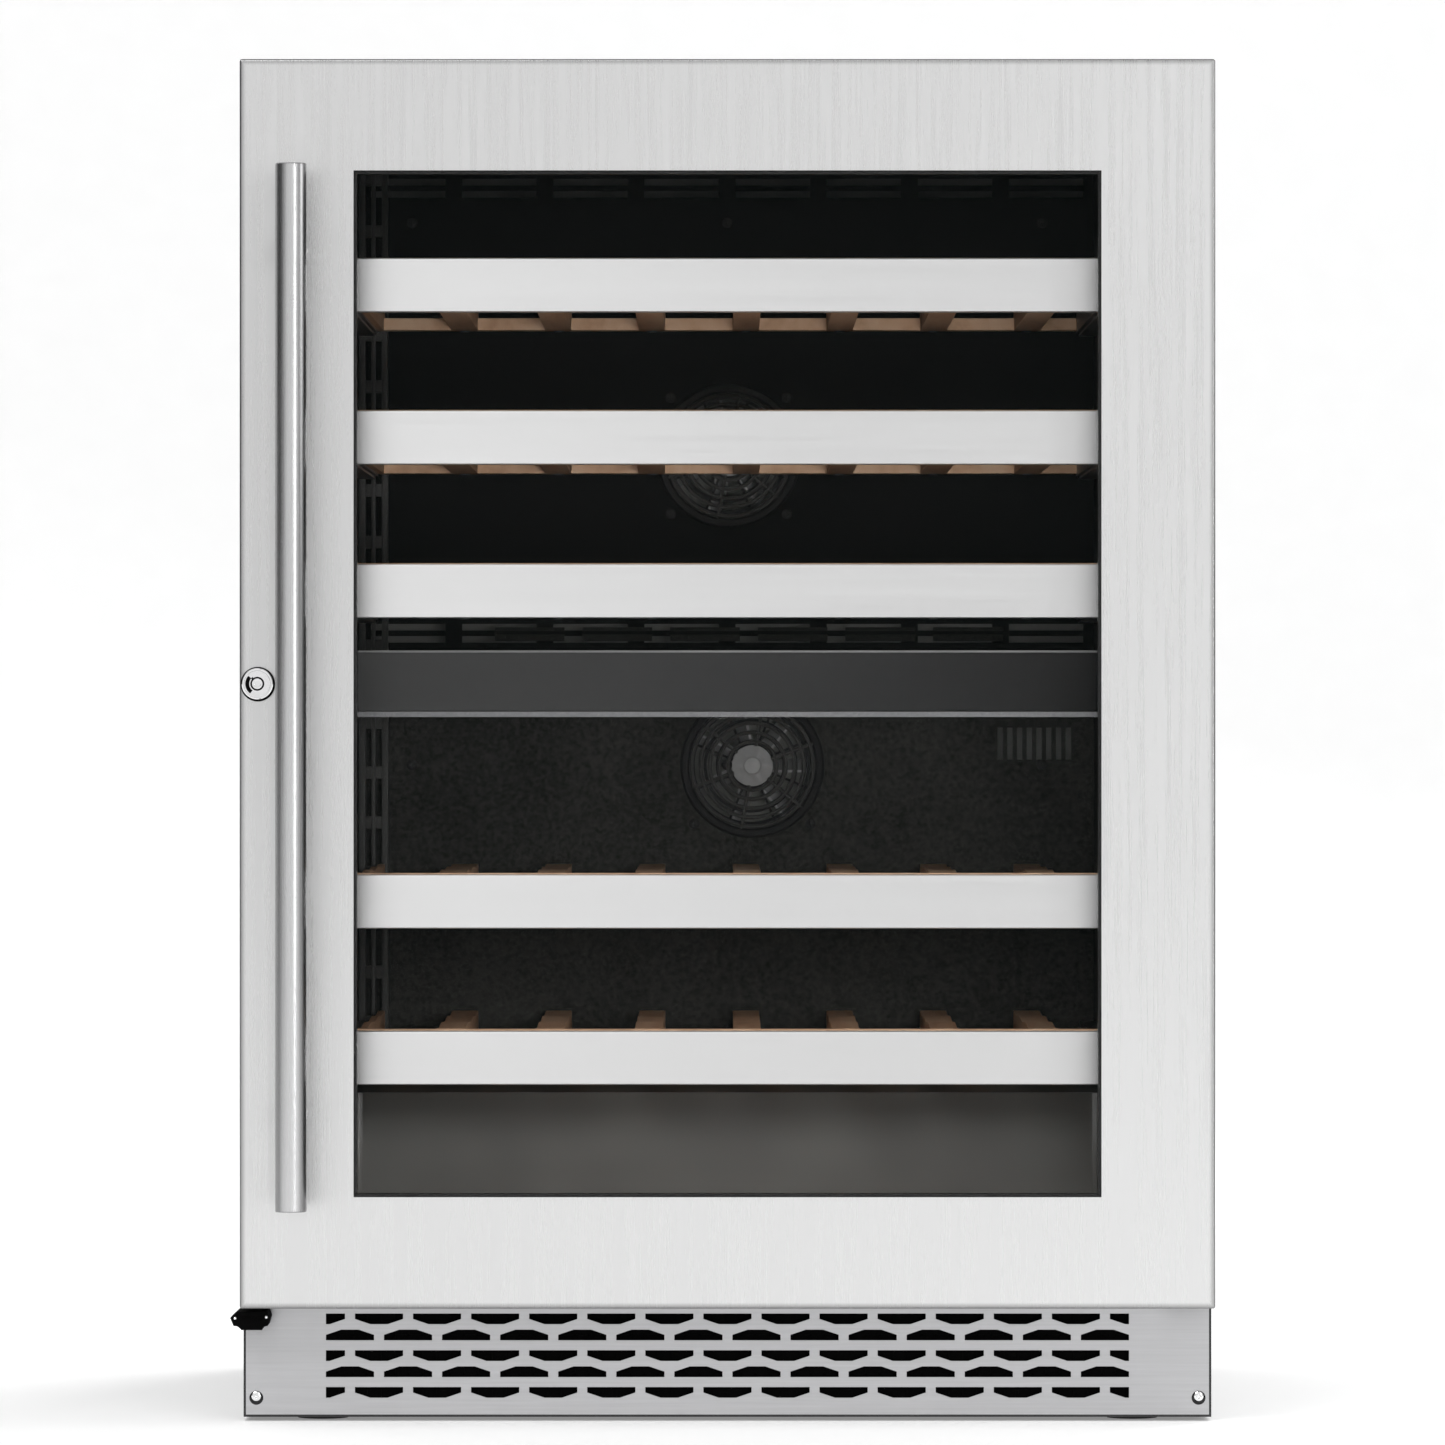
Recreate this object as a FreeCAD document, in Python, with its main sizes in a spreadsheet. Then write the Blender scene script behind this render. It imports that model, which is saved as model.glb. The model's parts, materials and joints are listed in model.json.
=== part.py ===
# Under-counter two-zone wine cooler with a glass door, five sliding shelves and a front-vented base.
# Millimetres. +X to the right, -Y towards the person in front, +Z up. The origin is on the floor, under the
# middle of the overall box. Every size is a cell of the sheet "dims" or worked out from its cells.
import FreeCAD, Part
import math
import os
import re
import Sketcher

doc = FreeCAD.newDocument("wine_cooler")
sheet = doc.addObject("Spreadsheet::Sheet", "dims")

DIMENSIONS = [
    # door
    ("door_width", 595, "outside width of the door"),
    ("door_height", 762, "outside height of the door"),
    ("door_low", 72, "bottom edge of the door"),
    ("door_front", -255, "front face of the door"),
    ("door_back", -213, "inner face of the door"),
    ("skin", 1.2, "steel skin of the door"),
    ("window_width", 456, "glass opening"),
    ("window_height", 626, "glass opening"),
    ("window_low", 140, "bottom of the glass opening"),
    ("rebate", 8, "how far the panes reach under the skin"),
    ("pane", 4, "thickness of one pane"),
    ("pane_gap", 12, "gas gap between the panes"),
    ("seal_outer", 266, "half width of the door seal"),
    ("seal_width", 14, "width of the door seal"),
    # hinge
    ("pin_x", 287.5, "hinge axis"),
    ("pin_y", -235, "hinge axis"),
    ("pin_radius", 4, "hinge pin"),
    ("tongue", 4, "thickness of a hinge tongue"),
    ("notch", 10.5, "height of the hinge notches in the door"),
    # handle
    ("bar_radius", 9.5, "handle bar"),
    ("bar_x", -264, "handle bar axis"),
    ("bar_y", -305.5, "handle bar axis"),
    ("bar_low", 133.5, "bottom end of the handle bar"),
    ("bar_length", 634, "length of the handle bar"),
    ("post_radius", 6, "handle posts"),
    ("post_spread", 263, "handle posts above and below the door's middle"),
    # lock
    ("lock_x", -286.5, "lock axis"),
    ("lock_z", 453, "lock axis"),
    ("lock_radius", 10.4, "rim of the lock"),
    ("plug_radius", 5, "turning plug"),
    ("strike_low", 423, "lower edge of the lock plate"),
    ("strike_top", 495, "upper edge of the lock plate"),
    # cabinet
    ("cab_width", 595, "outside width of the cabinet"),
    ("cab_front", -205, "front plane of the cabinet"),
    ("cab_back", 315, "rear plane of the cabinet"),
    ("cab_top", 831.5, "top of the cabinet"),
    ("cab_low", 2.5, "bottom edge of the cabinet"),
    ("plate", 1, "cabinet sheet"),
    ("flange_low", 78, "bottom edge of the front flange"),
    ("pan_low", 12, "base pan"),
    ("pan_plate", 1.2, "base pan sheet"),
    # cavity
    ("half", 242, "half width of the cavity"),
    ("ceiling", 793, "ceiling of the cavity"),
    ("floor", 95, "floor of the cavity"),
    ("back", 264, "rear wall of the cavity"),
    ("step_front", 35, "front of the raised step"),
    ("step_top", 193, "top of the raised step"),
    ("liner", 1.5, "liner sheet"),
    ("foam_low", 77.5, "underside of the insulation"),
    ("bay_front", 75, "front wall of the machine bay"),
    ("bay_top", 150, "ceiling of the machine bay"),
    ("divider_low", 436, "underside of the zone divider"),
    ("divider_top", 473.4, "top of the zone divider"),
    ("cover", 225, "front of the air covers"),
    ("cover_plate", 2, "air cover sheet"),
    ("lower_fan_x", 15.5, "lower fan axis"),
    ("lower_fan_z", 401, "lower fan axis"),
    ("upper_fan_z", 605, "upper fan axis"),
    ("fan_radius", 42, "fan opening"),
    ("fan_depth", 22, "fan frame depth"),
    # shelves
    ("shelf_1_low", 682.1, "bottom of shelf front, from the top down"),
    ("shelf_2_low", 588.3, "bottom of shelf front"),
    ("shelf_3_low", 493.8, "bottom of shelf front"),
    ("shelf_4_low", 302.6, "bottom of shelf front"),
    ("shelf_5_low", 206.3, "bottom of shelf front"),
    ("face", 33.2, "height of a shelf front"),
    ("face_half", 237, "half width of a shelf front"),
    ("face_front", -198, "front of a shelf front"),
    ("face_thick", 12, "thickness of a shelf front"),
    ("rack_back", 212, "rear end of the shelf slats"),
    ("slat", 17, "width of a slat"),
    ("slat_count", 8, "slats on a rack"),
    ("hung_pitch", 61.4, "distance between a shelf's slats"),
    ("hung_shift", -18.4, "sideways shift of a shelf's slats"),
    ("hung_rise", 4.2, "underside of a shelf's slats above its front's lower edge"),
    ("backing_top", 33.9, "top of the wooden rail behind a shelf front"),
    ("backing", 15, "depth of that rail"),
    ("floor_pitch", 58, "distance between the floor rack's slats"),
    ("rail_half", 229, "inner face of the sliding rails"),
    ("runner", 26, "height of a fixed runner"),
    # base
    ("kick_width", 592, "kick plate"),
    ("kick_low", 4, "kick plate"),
    ("kick_top", 77.5, "kick plate"),
    ("slot_pitch", 35.7, "kick plate slots along a row"),
    ("slot_width", 29.6, "kick plate slots"),
    ("slot_drop", 6.6, "height of a slot"),
    ("slot_side", 3.4, "straight side of a slot"),
    ("slot_end", 10.7, "narrow edge of a slot"),
    ("row_pitch", 22.6, "between rows of one kind"),
    ("first_row", 59.5, "bottom of the top row of slots"),
    ("second_row", 49.6, "bottom of the next row of slots"),
    ("screw_x", 289.6, "kick plate screws"),
    ("screw_z", 14.3, "kick plate screws"),
    ("foot_x", 250, "levelling feet"),
    ("foot_front", -170, "levelling feet"),
    ("foot_rear", 280, "rear feet"),
    ("foot_radius", 17, "foot pads"),
]

for row, (alias, value, note) in enumerate(DIMENSIONS, start=1):
    sheet.set(f"A{row}", alias)
    sheet.set(f"B{row}", str(value))
    sheet.set(f"C{row}", note)
    sheet.setAlias(f"B{row}", alias)
doc.recompute()

WORDS = {alias: value for alias, value, note in DIMENSIONS}
PARTS = []


def cells(text):
    """Turn a formula in plain aliases into one that reads the sheet."""
    return re.sub(r"[a-z][a-z_0-9]*", lambda m: "dims." + m[0] if m[0] in WORDS else m[0], str(text))


def number_of(text):
    """The number that a formula gives now."""
    result = sheet.evalExpression(cells(text))
    return float(getattr(result, "Value", result))


def in_order(one, other):
    """Two formulas, the lower first."""
    return sorted((one, other), key=number_of)


def bind(thing, **sizes):
    """Bind properties to formulas; a double underscore stands for a dot."""
    for name, text in sizes.items():
        thing.setExpression(name.replace("__", "."), cells(text))
    return thing


def part(thing, label):
    """Name a finished sub-part and list it for writing."""
    thing.Label = label
    PARTS.append(thing)
    return thing


def block(name, x, y, z):
    """A box between two formulas along each axis."""
    box = doc.addObject("Part::Box", name)
    for size, axis, (low, high) in zip(("Length", "Width", "Height"), "xyz", (x, y, z)):
        bind(box, **{size: f"({high}) - ({low})", f"Placement__Base__{axis}": low})
    return box


TURNS = {
    "x": FreeCAD.Rotation(FreeCAD.Vector(0, 1, 0), 90),
    "y": FreeCAD.Rotation(FreeCAD.Vector(1, 0, 0), -90),
    "z": FreeCAD.Rotation(),
}


def rod(name, along, start, length, radius):
    """A cylinder from a start point along an axis."""
    cylinder = doc.addObject("Part::Cylinder", name)
    cylinder.Placement = FreeCAD.Placement(FreeCAD.Vector(), TURNS[along])
    bind(cylinder, Radius=radius, Height=length)
    for axis, text in zip("xyz", start):
        bind(cylinder, **{f"Placement__Base__{axis}": text})
    return cylinder


def fuse(name, shapes):
    """One solid out of touching pieces."""
    joined = doc.addObject("Part::MultiFuse", name)
    joined.Shapes = shapes
    joined.Refine = True
    return joined


def cut(name, base, tools):
    """A piece with others taken away."""
    tool = tools[0] if len(tools) == 1 else group(name + "_tools", tools)
    result = doc.addObject("Part::Cut", name)
    result.Base, result.Tool = base, tool
    return result


def group(name, shapes):
    """Separate solids kept in one sub-part."""
    together = doc.addObject("Part::Compound", name)
    together.Links = shapes
    return together


def rounded(name, base, radius, keep):
    """Round the edges for which keep(edge) is true."""
    doc.recompute()
    edges = [i + 1 for i, edge in enumerate(base.Shape.Edges) if keep(edge)]
    result = doc.addObject("Part::Fillet", name)
    result.Base = base
    result.Edges = [(i, radius, radius) for i in edges]
    return result


def runs_along(edge, axis):
    """True for a straight edge along one axis."""
    if not isinstance(edge.Curve, Part.Line):
        return False
    return abs(edge.tangentAt(edge.FirstParameter)[axis]) > 0.99


def body_of(name):
    return doc.addObject("PartDesign::Body", name)


def plane_sketch(body, role, name, offset):
    """A sketch on one of the body's own planes, moved along its normal."""
    sketch = body.newObject("Sketcher::SketchObject", name)
    plane = next(f for f in body.Origin.OriginFeatures if f.Role == role)
    sketch.AttachmentSupport = (plane, [""])
    sketch.MapMode = "FlatFace"
    bind(sketch, AttachmentOffset__Base__z=offset)
    return sketch


def outline(sketch, points):
    """A closed outline whose corners are bound to formulas."""
    first = sketch.GeometryCount
    count = len(points)
    spots = [FreeCAD.Vector(number_of(a), number_of(b), 0) for a, b in points]
    for i in range(count):
        sketch.addGeometry(Part.LineSegment(spots[i], spots[(i + 1) % count]), False)
    for i in range(count):
        sketch.addConstraint(Sketcher.Constraint("Coincident", first + i, 2, first + (i + 1) % count, 1))
    for i, (across, up) in enumerate(points):
        for kind, text, size in (("DistanceX", across, spots[i].x), ("DistanceY", up, spots[i].y)):
            index = sketch.addConstraint(Sketcher.Constraint(kind, -1, 1, first + i, 1, size))
            sketch.setExpression(f"Constraints[{index}]", cells(text))
    return sketch


def rectangle(sketch, low_x, high_x, low_y, high_y):
    return outline(sketch, [(low_x, low_y), (high_x, low_y), (high_x, high_y), (low_x, high_y)])


def circle(sketch, across, up, radius):
    """A circle bound to formulas."""
    at = FreeCAD.Vector(number_of(across), number_of(up), 0)
    normal = FreeCAD.Vector(0, 0, 1)
    ring = sketch.addGeometry(Part.Circle(at, normal, number_of(radius)), False)
    for kind, text, size in (("DistanceX", across, at.x), ("DistanceY", up, at.y)):
        index = sketch.addConstraint(Sketcher.Constraint(kind, -1, 1, ring, 3, size))
        sketch.setExpression(f"Constraints[{index}]", cells(text))
    index = sketch.addConstraint(Sketcher.Constraint("Radius", ring, number_of(radius)))
    sketch.setExpression(f"Constraints[{index}]", cells(radius))
    return sketch


def pad(body, sketch, length):
    feature = body.newObject("PartDesign::Pad", sketch.Name + "_pad")
    feature.Profile = sketch
    bind(feature, Length=length)
    doc.recompute()
    return feature


def soften(body, kind, size, keep):
    """Fillet or chamfer the edges of the body for which keep(edge) is true."""
    doc.recompute()
    base = body.Tip
    edges = [f"Edge{i + 1}" for i, edge in enumerate(base.Shape.Edges) if keep(edge)]
    feature = body.newObject(f"PartDesign::{kind}", f"{body.Name}_{kind.lower()}")
    feature.Base = (base, edges)
    bind(feature, **{"Radius" if kind == "Fillet" else "Size": size})
    doc.recompute()
    return feature


def pocket(body, sketch):
    """Cut right through both ways, and make sure that something was cut."""
    before = body.Shape.Volume
    feature = body.newObject("PartDesign::Pocket", sketch.Name + "_cut")
    feature.Profile = sketch
    feature.Type = "ThroughAll"
    feature.Midplane = True
    doc.recompute()
    if not body.Shape.Volume < before - 1e-6:
        raise RuntimeError(f"{sketch.Name} cuts nothing")
    return feature


def cut_volume(feature):
    """What one pocket takes away."""
    return feature.BaseFeature.Shape.Volume - feature.Shape.Volume


def spread(body, feature, across, down=(1, "0")):
    """Repeat a cut to the right and downwards: (how many, pitch) for each."""
    before = body.Shape.Volume
    sketch = feature.Profile[0]
    both = body.newObject("PartDesign::MultiTransform", feature.Name + "_rows")
    both.Originals = [feature]
    steps = []
    for axis, backwards, (count, pitch) in (("H_Axis", False, across), ("V_Axis", True, down)):
        if count > 1:
            step = body.newObject("PartDesign::LinearPattern", f"{feature.Name}_{axis[0].lower()}")
            step.Direction = (sketch, [axis])
            step.Reversed = backwards
            step.Mode = "Spacing"
            step.Occurrences = count
            bind(step, Offset=pitch)
            steps.append(step)
    both.Transformations = steps
    body.Tip = both
    doc.recompute()
    one = cut_volume(feature)
    missing = one * across[0] * down[0] - one - (before - body.Shape.Volume)
    if abs(missing) > 0.01 * one:
        raise RuntimeError(f"{feature.Name} lost some copies")
    return both


def turned(label, points, axis_x="0", axis_y="0"):
    """A body of revolution about an upright axis: radius and height at each corner."""
    body = body_of(label)
    sketch = outline(plane_sketch(body, "XZ_Plane", label + "_profile", "0"), points)
    spin = body.newObject("PartDesign::Revolution", label + "_turn")
    spin.Profile = sketch
    spin.ReferenceAxis = (sketch, ["V_Axis"])
    spin.Angle = 360
    bind(body, Placement__Base__x=axis_x, Placement__Base__y=axis_y)
    return body


def sheet_body(label, x, z, y_back, thick):
    """An upright plate: a rectangle padded towards the front."""
    body = body_of(label)
    sketch = plane_sketch(body, "XZ_Plane", label + "_outline", f"-({y_back})")
    pad(body, rectangle(sketch, x[0], x[1], z[0], z[1]), thick)
    return body


def opening(body, name, at_y):
    return plane_sketch(body, "XZ_Plane", name, f"-({at_y})")


# ---------------------------------------------------------------- cabinet shell


def cabinet_wrapper():
    """Side walls and top folded from one sheet."""
    side = "cab_width / 2"
    depth = ("cab_front + plate", "cab_back")
    outer = block("wrapper_outer", (f"-{side}", side), depth, ("cab_low", "cab_top"))
    inner = block("wrapper_inner", (f"-{side} + plate", f"{side} - plate"),
                  ("cab_front", "cab_back + plate"), ("cab_low - plate", "cab_top - plate"))
    part(cut("cabinet_wrapper", outer, [inner]), "cabinet_wrapper")


def front_flange():
    """Painted steel strips that the door seal closes on, and a plate with a slot for the lock cam."""
    depth = ("cab_front", "cab_front + plate")
    full = ("-cab_width / 2", "cab_width / 2")
    left, right = ("-cab_width / 2", "-half - liner"), ("half + liner", "cab_width / 2")
    under, over = "floor - liner", "ceiling + liner"
    strips = [block("flange_top", full, depth, (over, "cab_top")),
              block("flange_bottom", full, depth, ("flange_low", under)),
              block("flange_right", right, depth, (under, over)),
              block("flange_left_low", left, depth, (under, "strike_low")),
              block("flange_left_high", left, depth, ("strike_top", over))]
    part(group("front_flange", strips), "front_flange")
    strike = sheet_body("lock_strike", left, ("strike_low", "strike_top"), "cab_front + plate", "plate")
    slot = rectangle(opening(strike, "strike_slot", "cab_front"), "lock_x - 7.5", "lock_x + 7.5",
                     "lock_z - 9", "lock_z + 21")
    pocket(strike, slot)
    part(strike, "lock_strike")


def back_panel():
    """Rear sheet with cooling slots and a hole for the power inlet at the bottom."""
    body = sheet_body("back_panel", ("-cab_width / 2 + plate", "cab_width / 2 - plate"),
                      ("pan_low + pan_plate", "cab_top - plate"), "cab_back", "plate")
    slots = rectangle(opening(body, "rear_slots", "cab_back"), "-250", "-210", "130", "135")
    spread(body, pocket(body, slots), (8, "56"), (8, "12"))
    inlet = rectangle(opening(body, "inlet_hole", "cab_back"), "240", "268", "46", "66")
    pocket(body, inlet)
    part(body, "back_panel")


def base_pan():
    """Tray that carries the machine bay, with a front lip, corner tabs and holes for the feet."""
    wide = ("-cab_width / 2 + plate", "cab_width / 2 - plate")
    tray = block("pan_tray", wide, ("cab_front + plate", "cab_back - plate"),
                 ("pan_low", "pan_low + pan_plate"))
    lip = block("pan_lip", wide, ("cab_front + plate", "cab_front + plate + pan_plate"),
                ("cab_low", "pan_low"))
    tabs = []
    for side in (-1, 1):
        edges = in_order(f"{side} * (screw_x - 8)", f"{side} * (cab_width / 2 - plate)")
        tabs.append(block("pan_tab", edges, ("cab_front + plate", "cab_front + plate + pan_plate"),
                          ("pan_low", "kick_top")))
    holes = [rod("pan_hole", "z", (f"{side} * foot_x", y, "pan_low - 1"), "4", "5.4")
             for side in (-1, 1) for y in ("foot_front", "foot_rear")]
    for side in (-1, 1):
        holes.append(rod("tab_hole", "y", (f"{side} * screw_x", "cab_front", "screw_z"), "6", "2"))
    part(cut("base_pan", fuse("pan_shape", [tray, lip] + tabs), holes), "base_pan")


def profile_body(label, low_x, high_x, points):
    """A shape drawn in the side view and padded across the width."""
    body = body_of(label)
    sketch = plane_sketch(body, "YZ_Plane", label + "_profile", low_x)
    pad(body, outline(sketch, points), f"({high_x}) - ({low_x})")
    return body


def insulation_foam():
    """Foam between the shell and the liner, with a pocket behind the lock slot."""
    front = "cab_front + plate"
    outer = profile_body("foam_outer", "-cab_width / 2 + plate", "cab_width / 2 - plate", [
        (front, "foam_low"), ("bay_front", "foam_low"), ("bay_front", "bay_top"),
        ("cab_back - plate", "bay_top"), ("cab_back - plate", "cab_top - plate"),
        (front, "cab_top - plate")])
    cavity = profile_body("foam_cavity", "-half - liner", "half + liner", [
        ("cab_front", "floor - liner"), ("step_front + liner", "floor - liner"),
        ("step_front + liner", "step_top - liner"), ("back + liner", "step_top - liner"),
        ("back + liner", "ceiling + liner"), ("cab_front", "ceiling + liner")])
    lock_pocket = block("foam_lock_pocket", ("-cab_width / 2 + plate", "-262"),
                        ("cab_front", "-190"), ("lock_z - 14", "lock_z + 26"))
    part(cut("insulation_foam", outer, [cavity, lock_pocket]), "insulation_foam")


def liner():
    """Inner liner: one bent sheet for ceiling, back, step and floor, and two side walls."""
    front = "cab_front + plate"
    shell = profile_body("liner_shell", "-half", "half", [
        (front, "floor - liner"), ("step_front + liner", "floor - liner"),
        ("step_front + liner", "step_top - liner"), ("back + liner", "step_top - liner"),
        ("back + liner", "ceiling + liner"), (front, "ceiling + liner"), (front, "ceiling"),
        ("back", "ceiling"), ("back", "step_top"), ("step_front", "step_top"),
        ("step_front", "floor"), (front, "floor")])
    part(shell, "liner_shell")
    walls = [profile_body(f"liner_wall_{name}", low, high, [
        (front, "floor - liner"), ("step_front + liner", "floor - liner"),
        ("step_front + liner", "step_top - liner"), ("back + liner", "step_top - liner"),
        ("back + liner", "ceiling + liner"), (front, "ceiling + liner")])
        for name, low, high in (("left", "-half - liner", "-half"), ("right", "half", "half + liner"))]
    part(group("liner_side_walls", walls), "liner_side_walls")


# ---------------------------------------------------------------- inside the cavity


def divider():
    """Insulated partition between the zones, its control panel and the light bars."""
    slab = block("zone_divider", ("-half + 0.3", "half - 0.3"), ("-188", "cover - 0.3"),
                 ("divider_low", "divider_top"))
    part(slab, "zone_divider")
    panel = body_of("control_panel")
    sketch = plane_sketch(panel, "XZ_Plane", "panel_outline", "188")
    pad(panel, rectangle(sketch, "-half + 1", "half - 1", "divider_low", "divider_top"), "12")
    soften(panel, "Fillet", "1.2", lambda e: runs_along(e, 0) and e.CenterOfMass.y < -199)
    part(panel, "control_panel")
    lower = block("light_lower", ("-half + 2", "half - 2"), ("-199", "-188"),
                  ("divider_low - 3.2", "divider_low"))
    upper = block("light_upper", ("-half + 30", "half - 30"), ("-196", "-184"),
                  ("ceiling - 7", "ceiling"))
    part(group("light_bars", [upper, lower]), "light_bars")


def air_cover(label, z, fan_x, fan_z):
    """Plate in front of an evaporator with a round fan opening and rows of air slots."""
    body = sheet_body(label, ("-half + 0.5", "half - 0.5"), z, "cover + cover_plate", "cover_plate")
    pocket(body, circle(opening(body, label + "_mouth", "cover"), fan_x, fan_z, "fan_radius"))
    return body


def air_covers():
    upper = air_cover("evaporator_cover_upper", ("divider_top + 0.6", "ceiling - 0.6"), "0", "upper_fan_z")
    for name, low in (("low_slots", "490"), ("high_slots", "783")):
        slots = rectangle(opening(upper, name, "cover"), "-234.5", "-185.5", low, f"{low} + 4.3")
        pattern = pocket(upper, slots)
        spread(upper, pattern, (8, "60"), (2, "8"))
    part(upper, "evaporator_cover_upper")
    lower = air_cover("evaporator_cover_lower", ("step_top + 0.6", "divider_low - 0.6"),
                      "lower_fan_x", "lower_fan_z")
    vent = rectangle(opening(lower, "vent_slots", "cover"), "178", "181.6", "405", "426")
    spread(lower, pocket(lower, vent), (8, "6.4"))
    low = rectangle(opening(lower, "return_slots", "cover"), "-234.5", "-185.5", "211", "215.3")
    spread(lower, pocket(lower, low), (8, "60"), (2, "8"))
    part(lower, "evaporator_cover_lower")


def fan_housing(name, x, z):
    """Square frame with rings and spokes in front of the blades."""
    front = "cover + cover_plate"
    square = block(name + "_square", (f"{x} - fan_radius - 5", f"{x} + fan_radius + 5"),
                   (front, f"{front} + fan_depth"), (f"{z} - fan_radius - 5", f"{z} + fan_radius + 5"))
    bore = rod(name + "_bore", "y", (x, f"{front} - 1", z), "fan_depth + 2", "fan_radius")
    pieces = [cut(name + "_frame", square, [bore])]
    for size in ("14", "22", "30", "38"):
        outer = rod(name + "_ring", "y", (x, front, z), "1.6", f"{size} + 1")
        inner = rod(name + "_ring_bore", "y", (x, f"{front} - 1", z), "4", f"{size} - 1")
        pieces.append(cut(name + "_guard", outer, [inner]))
    pieces.append(rod(name + "_hub", "y", (x, front, z), "1.6", "9"))
    for turn in range(8):
        spoke = doc.addObject("Part::Box", name + "_spoke")
        bind(spoke, Length="fan_radius + 1", Width="1.6", Height="1.6")
        around = FreeCAD.Rotation(FreeCAD.Vector(0, 1, 0), 22.5 + 45 * turn)
        spoke.Placement = FreeCAD.Placement(FreeCAD.Vector(), around)
        bind(spoke, Placement__Base__x=x, Placement__Base__y=front, Placement__Base__z=z)
        pieces.append(spoke)
    return fuse(name, pieces)


def rotor(label, x, y_front, z, radius, depth, blades):
    """Fan wheel: a hub and slanted blades, turning about Y."""
    pieces = [rod(label + "_hub", "y", ("0", "0", "0"), depth, "13")]
    for turn in range(blades):
        blade = doc.addObject("Part::Box", label + "_blade")
        bind(blade, Length=f"({radius}) - 10", Width="1.4", Height=f"({radius}) * 0.5")
        lean = FreeCAD.Rotation(FreeCAD.Vector(1, 0, 0), -62)
        around = FreeCAD.Rotation(FreeCAD.Vector(0, 1, 0), 360 * turn / blades)
        height = number_of(f"({radius}) * 0.25")
        middle = FreeCAD.Vector(10, number_of(f"({depth}) / 2"), 0)
        shift = middle - lean.multVec(FreeCAD.Vector(0, 0.7, height))
        blade.Placement = FreeCAD.Placement(around.multVec(shift), around.multiply(lean))
        pieces.append(blade)
    wheel = fuse(label + "_wheel", pieces)
    trim = rod(label + "_sweep", "y", ("0", "0", "0"), depth, radius)
    round_wheel = doc.addObject("Part::Common", label)
    round_wheel.Base, round_wheel.Tool = wheel, trim
    bind(round_wheel, Placement__Base__x=x, Placement__Base__y=y_front, Placement__Base__z=z)
    return part(round_wheel, label)


def zone_fans():
    housings = [fan_housing("fan_housing_upper", "0", "upper_fan_z"),
                fan_housing("fan_housing_lower", "lower_fan_x", "lower_fan_z")]
    part(group("fan_housings", housings), "fan_housings")
    front = "cover + cover_plate + 4"
    rotor("fan_rotor_upper", "0", front, "upper_fan_z", "fan_radius - 2", "14", 7)
    rotor("fan_rotor_lower", "lower_fan_x", front, "lower_fan_z", "fan_radius - 2", "14", 7)


def finned_coil(name, x, y, z, tubes, fins):
    """Parallel tubes through a row of thin fins, between end plates."""
    low_x, high_x = x
    pieces = []
    for i in range(fins):
        at = f"{low_x} + {i} * ({high_x} - ({low_x}) - 0.6) / {fins - 1}"
        pieces.append(block(name + "_fin", (at, f"{at} + 0.6"), y, z))
    for spot_y, spot_z in tubes:
        start = (f"{low_x} - 6", spot_y, spot_z)
        pieces.append(rod(name + "_tube", "x", start, f"({high_x}) - ({low_x}) + 12", "4"))
    return fuse(name, pieces)


def evaporators():
    """Two finned coils behind the air covers."""
    deep = ("cover + cover_plate + 6", "back - 2")
    middle = "(cover + cover_plate + back + 4) / 2"
    coils = []
    for name, low, high in (("evaporator_upper", "660", "760"), ("evaporator_lower", "215", "335")):
        tubes = [(middle, f"{low} + {step}") for step in (20, 50, 80)]
        coils.append(finned_coil(name, ("-150", "150"), deep, (low, high), tubes, 31))
    part(group("evaporator_coils", coils), "evaporator_coils")


def runners():
    """Fixed channels on the liner walls, a pair for each shelf."""
    channels = []
    for shelf in range(1, 6):
        low = f"shelf_{shelf}_low + 1"
        for side in (-1, 1):
            outer_x = in_order(f"{side} * (half - 11)", f"{side} * half")
            slot_x = in_order(f"{side} * (half - 12)", f"{side} * (half - 2)")
            bar = block("runner_bar", outer_x, ("-182", "206"), (low, f"{low} + runner"))
            groove = block("runner_groove", slot_x, ("-183", "207"),
                           (f"{low} + 1.5", f"{low} + runner - 1.5"))
            channels.append(cut(f"runner_{shelf}", bar, [groove]))
    part(group("shelf_runners", channels), "shelf_runners")


def slatted_rack(name, half_width, y, rails, rail_z, slat_z, spacing):
    """Cross rails and slats running front to back; a slat that passes the side is cut off there."""
    pitch, shift = spacing
    pieces = [block(name + "_rail", (f"-({half_width})", half_width), (start, f"{start} + 20"), rail_z)
              for start in rails]
    for i in range(int(WORDS["slat_count"])):
        centre = f"{shift} + ({i} - (slat_count - 1) / 2) * {pitch}"
        left = f"{centre} - slat / 2"
        if number_of(left) < -number_of(half_width):
            left = f"-({half_width})"
        pieces.append(block(name + "_slat", (left, f"{centre} + slat / 2"), y, slat_z))
    return pieces


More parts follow.
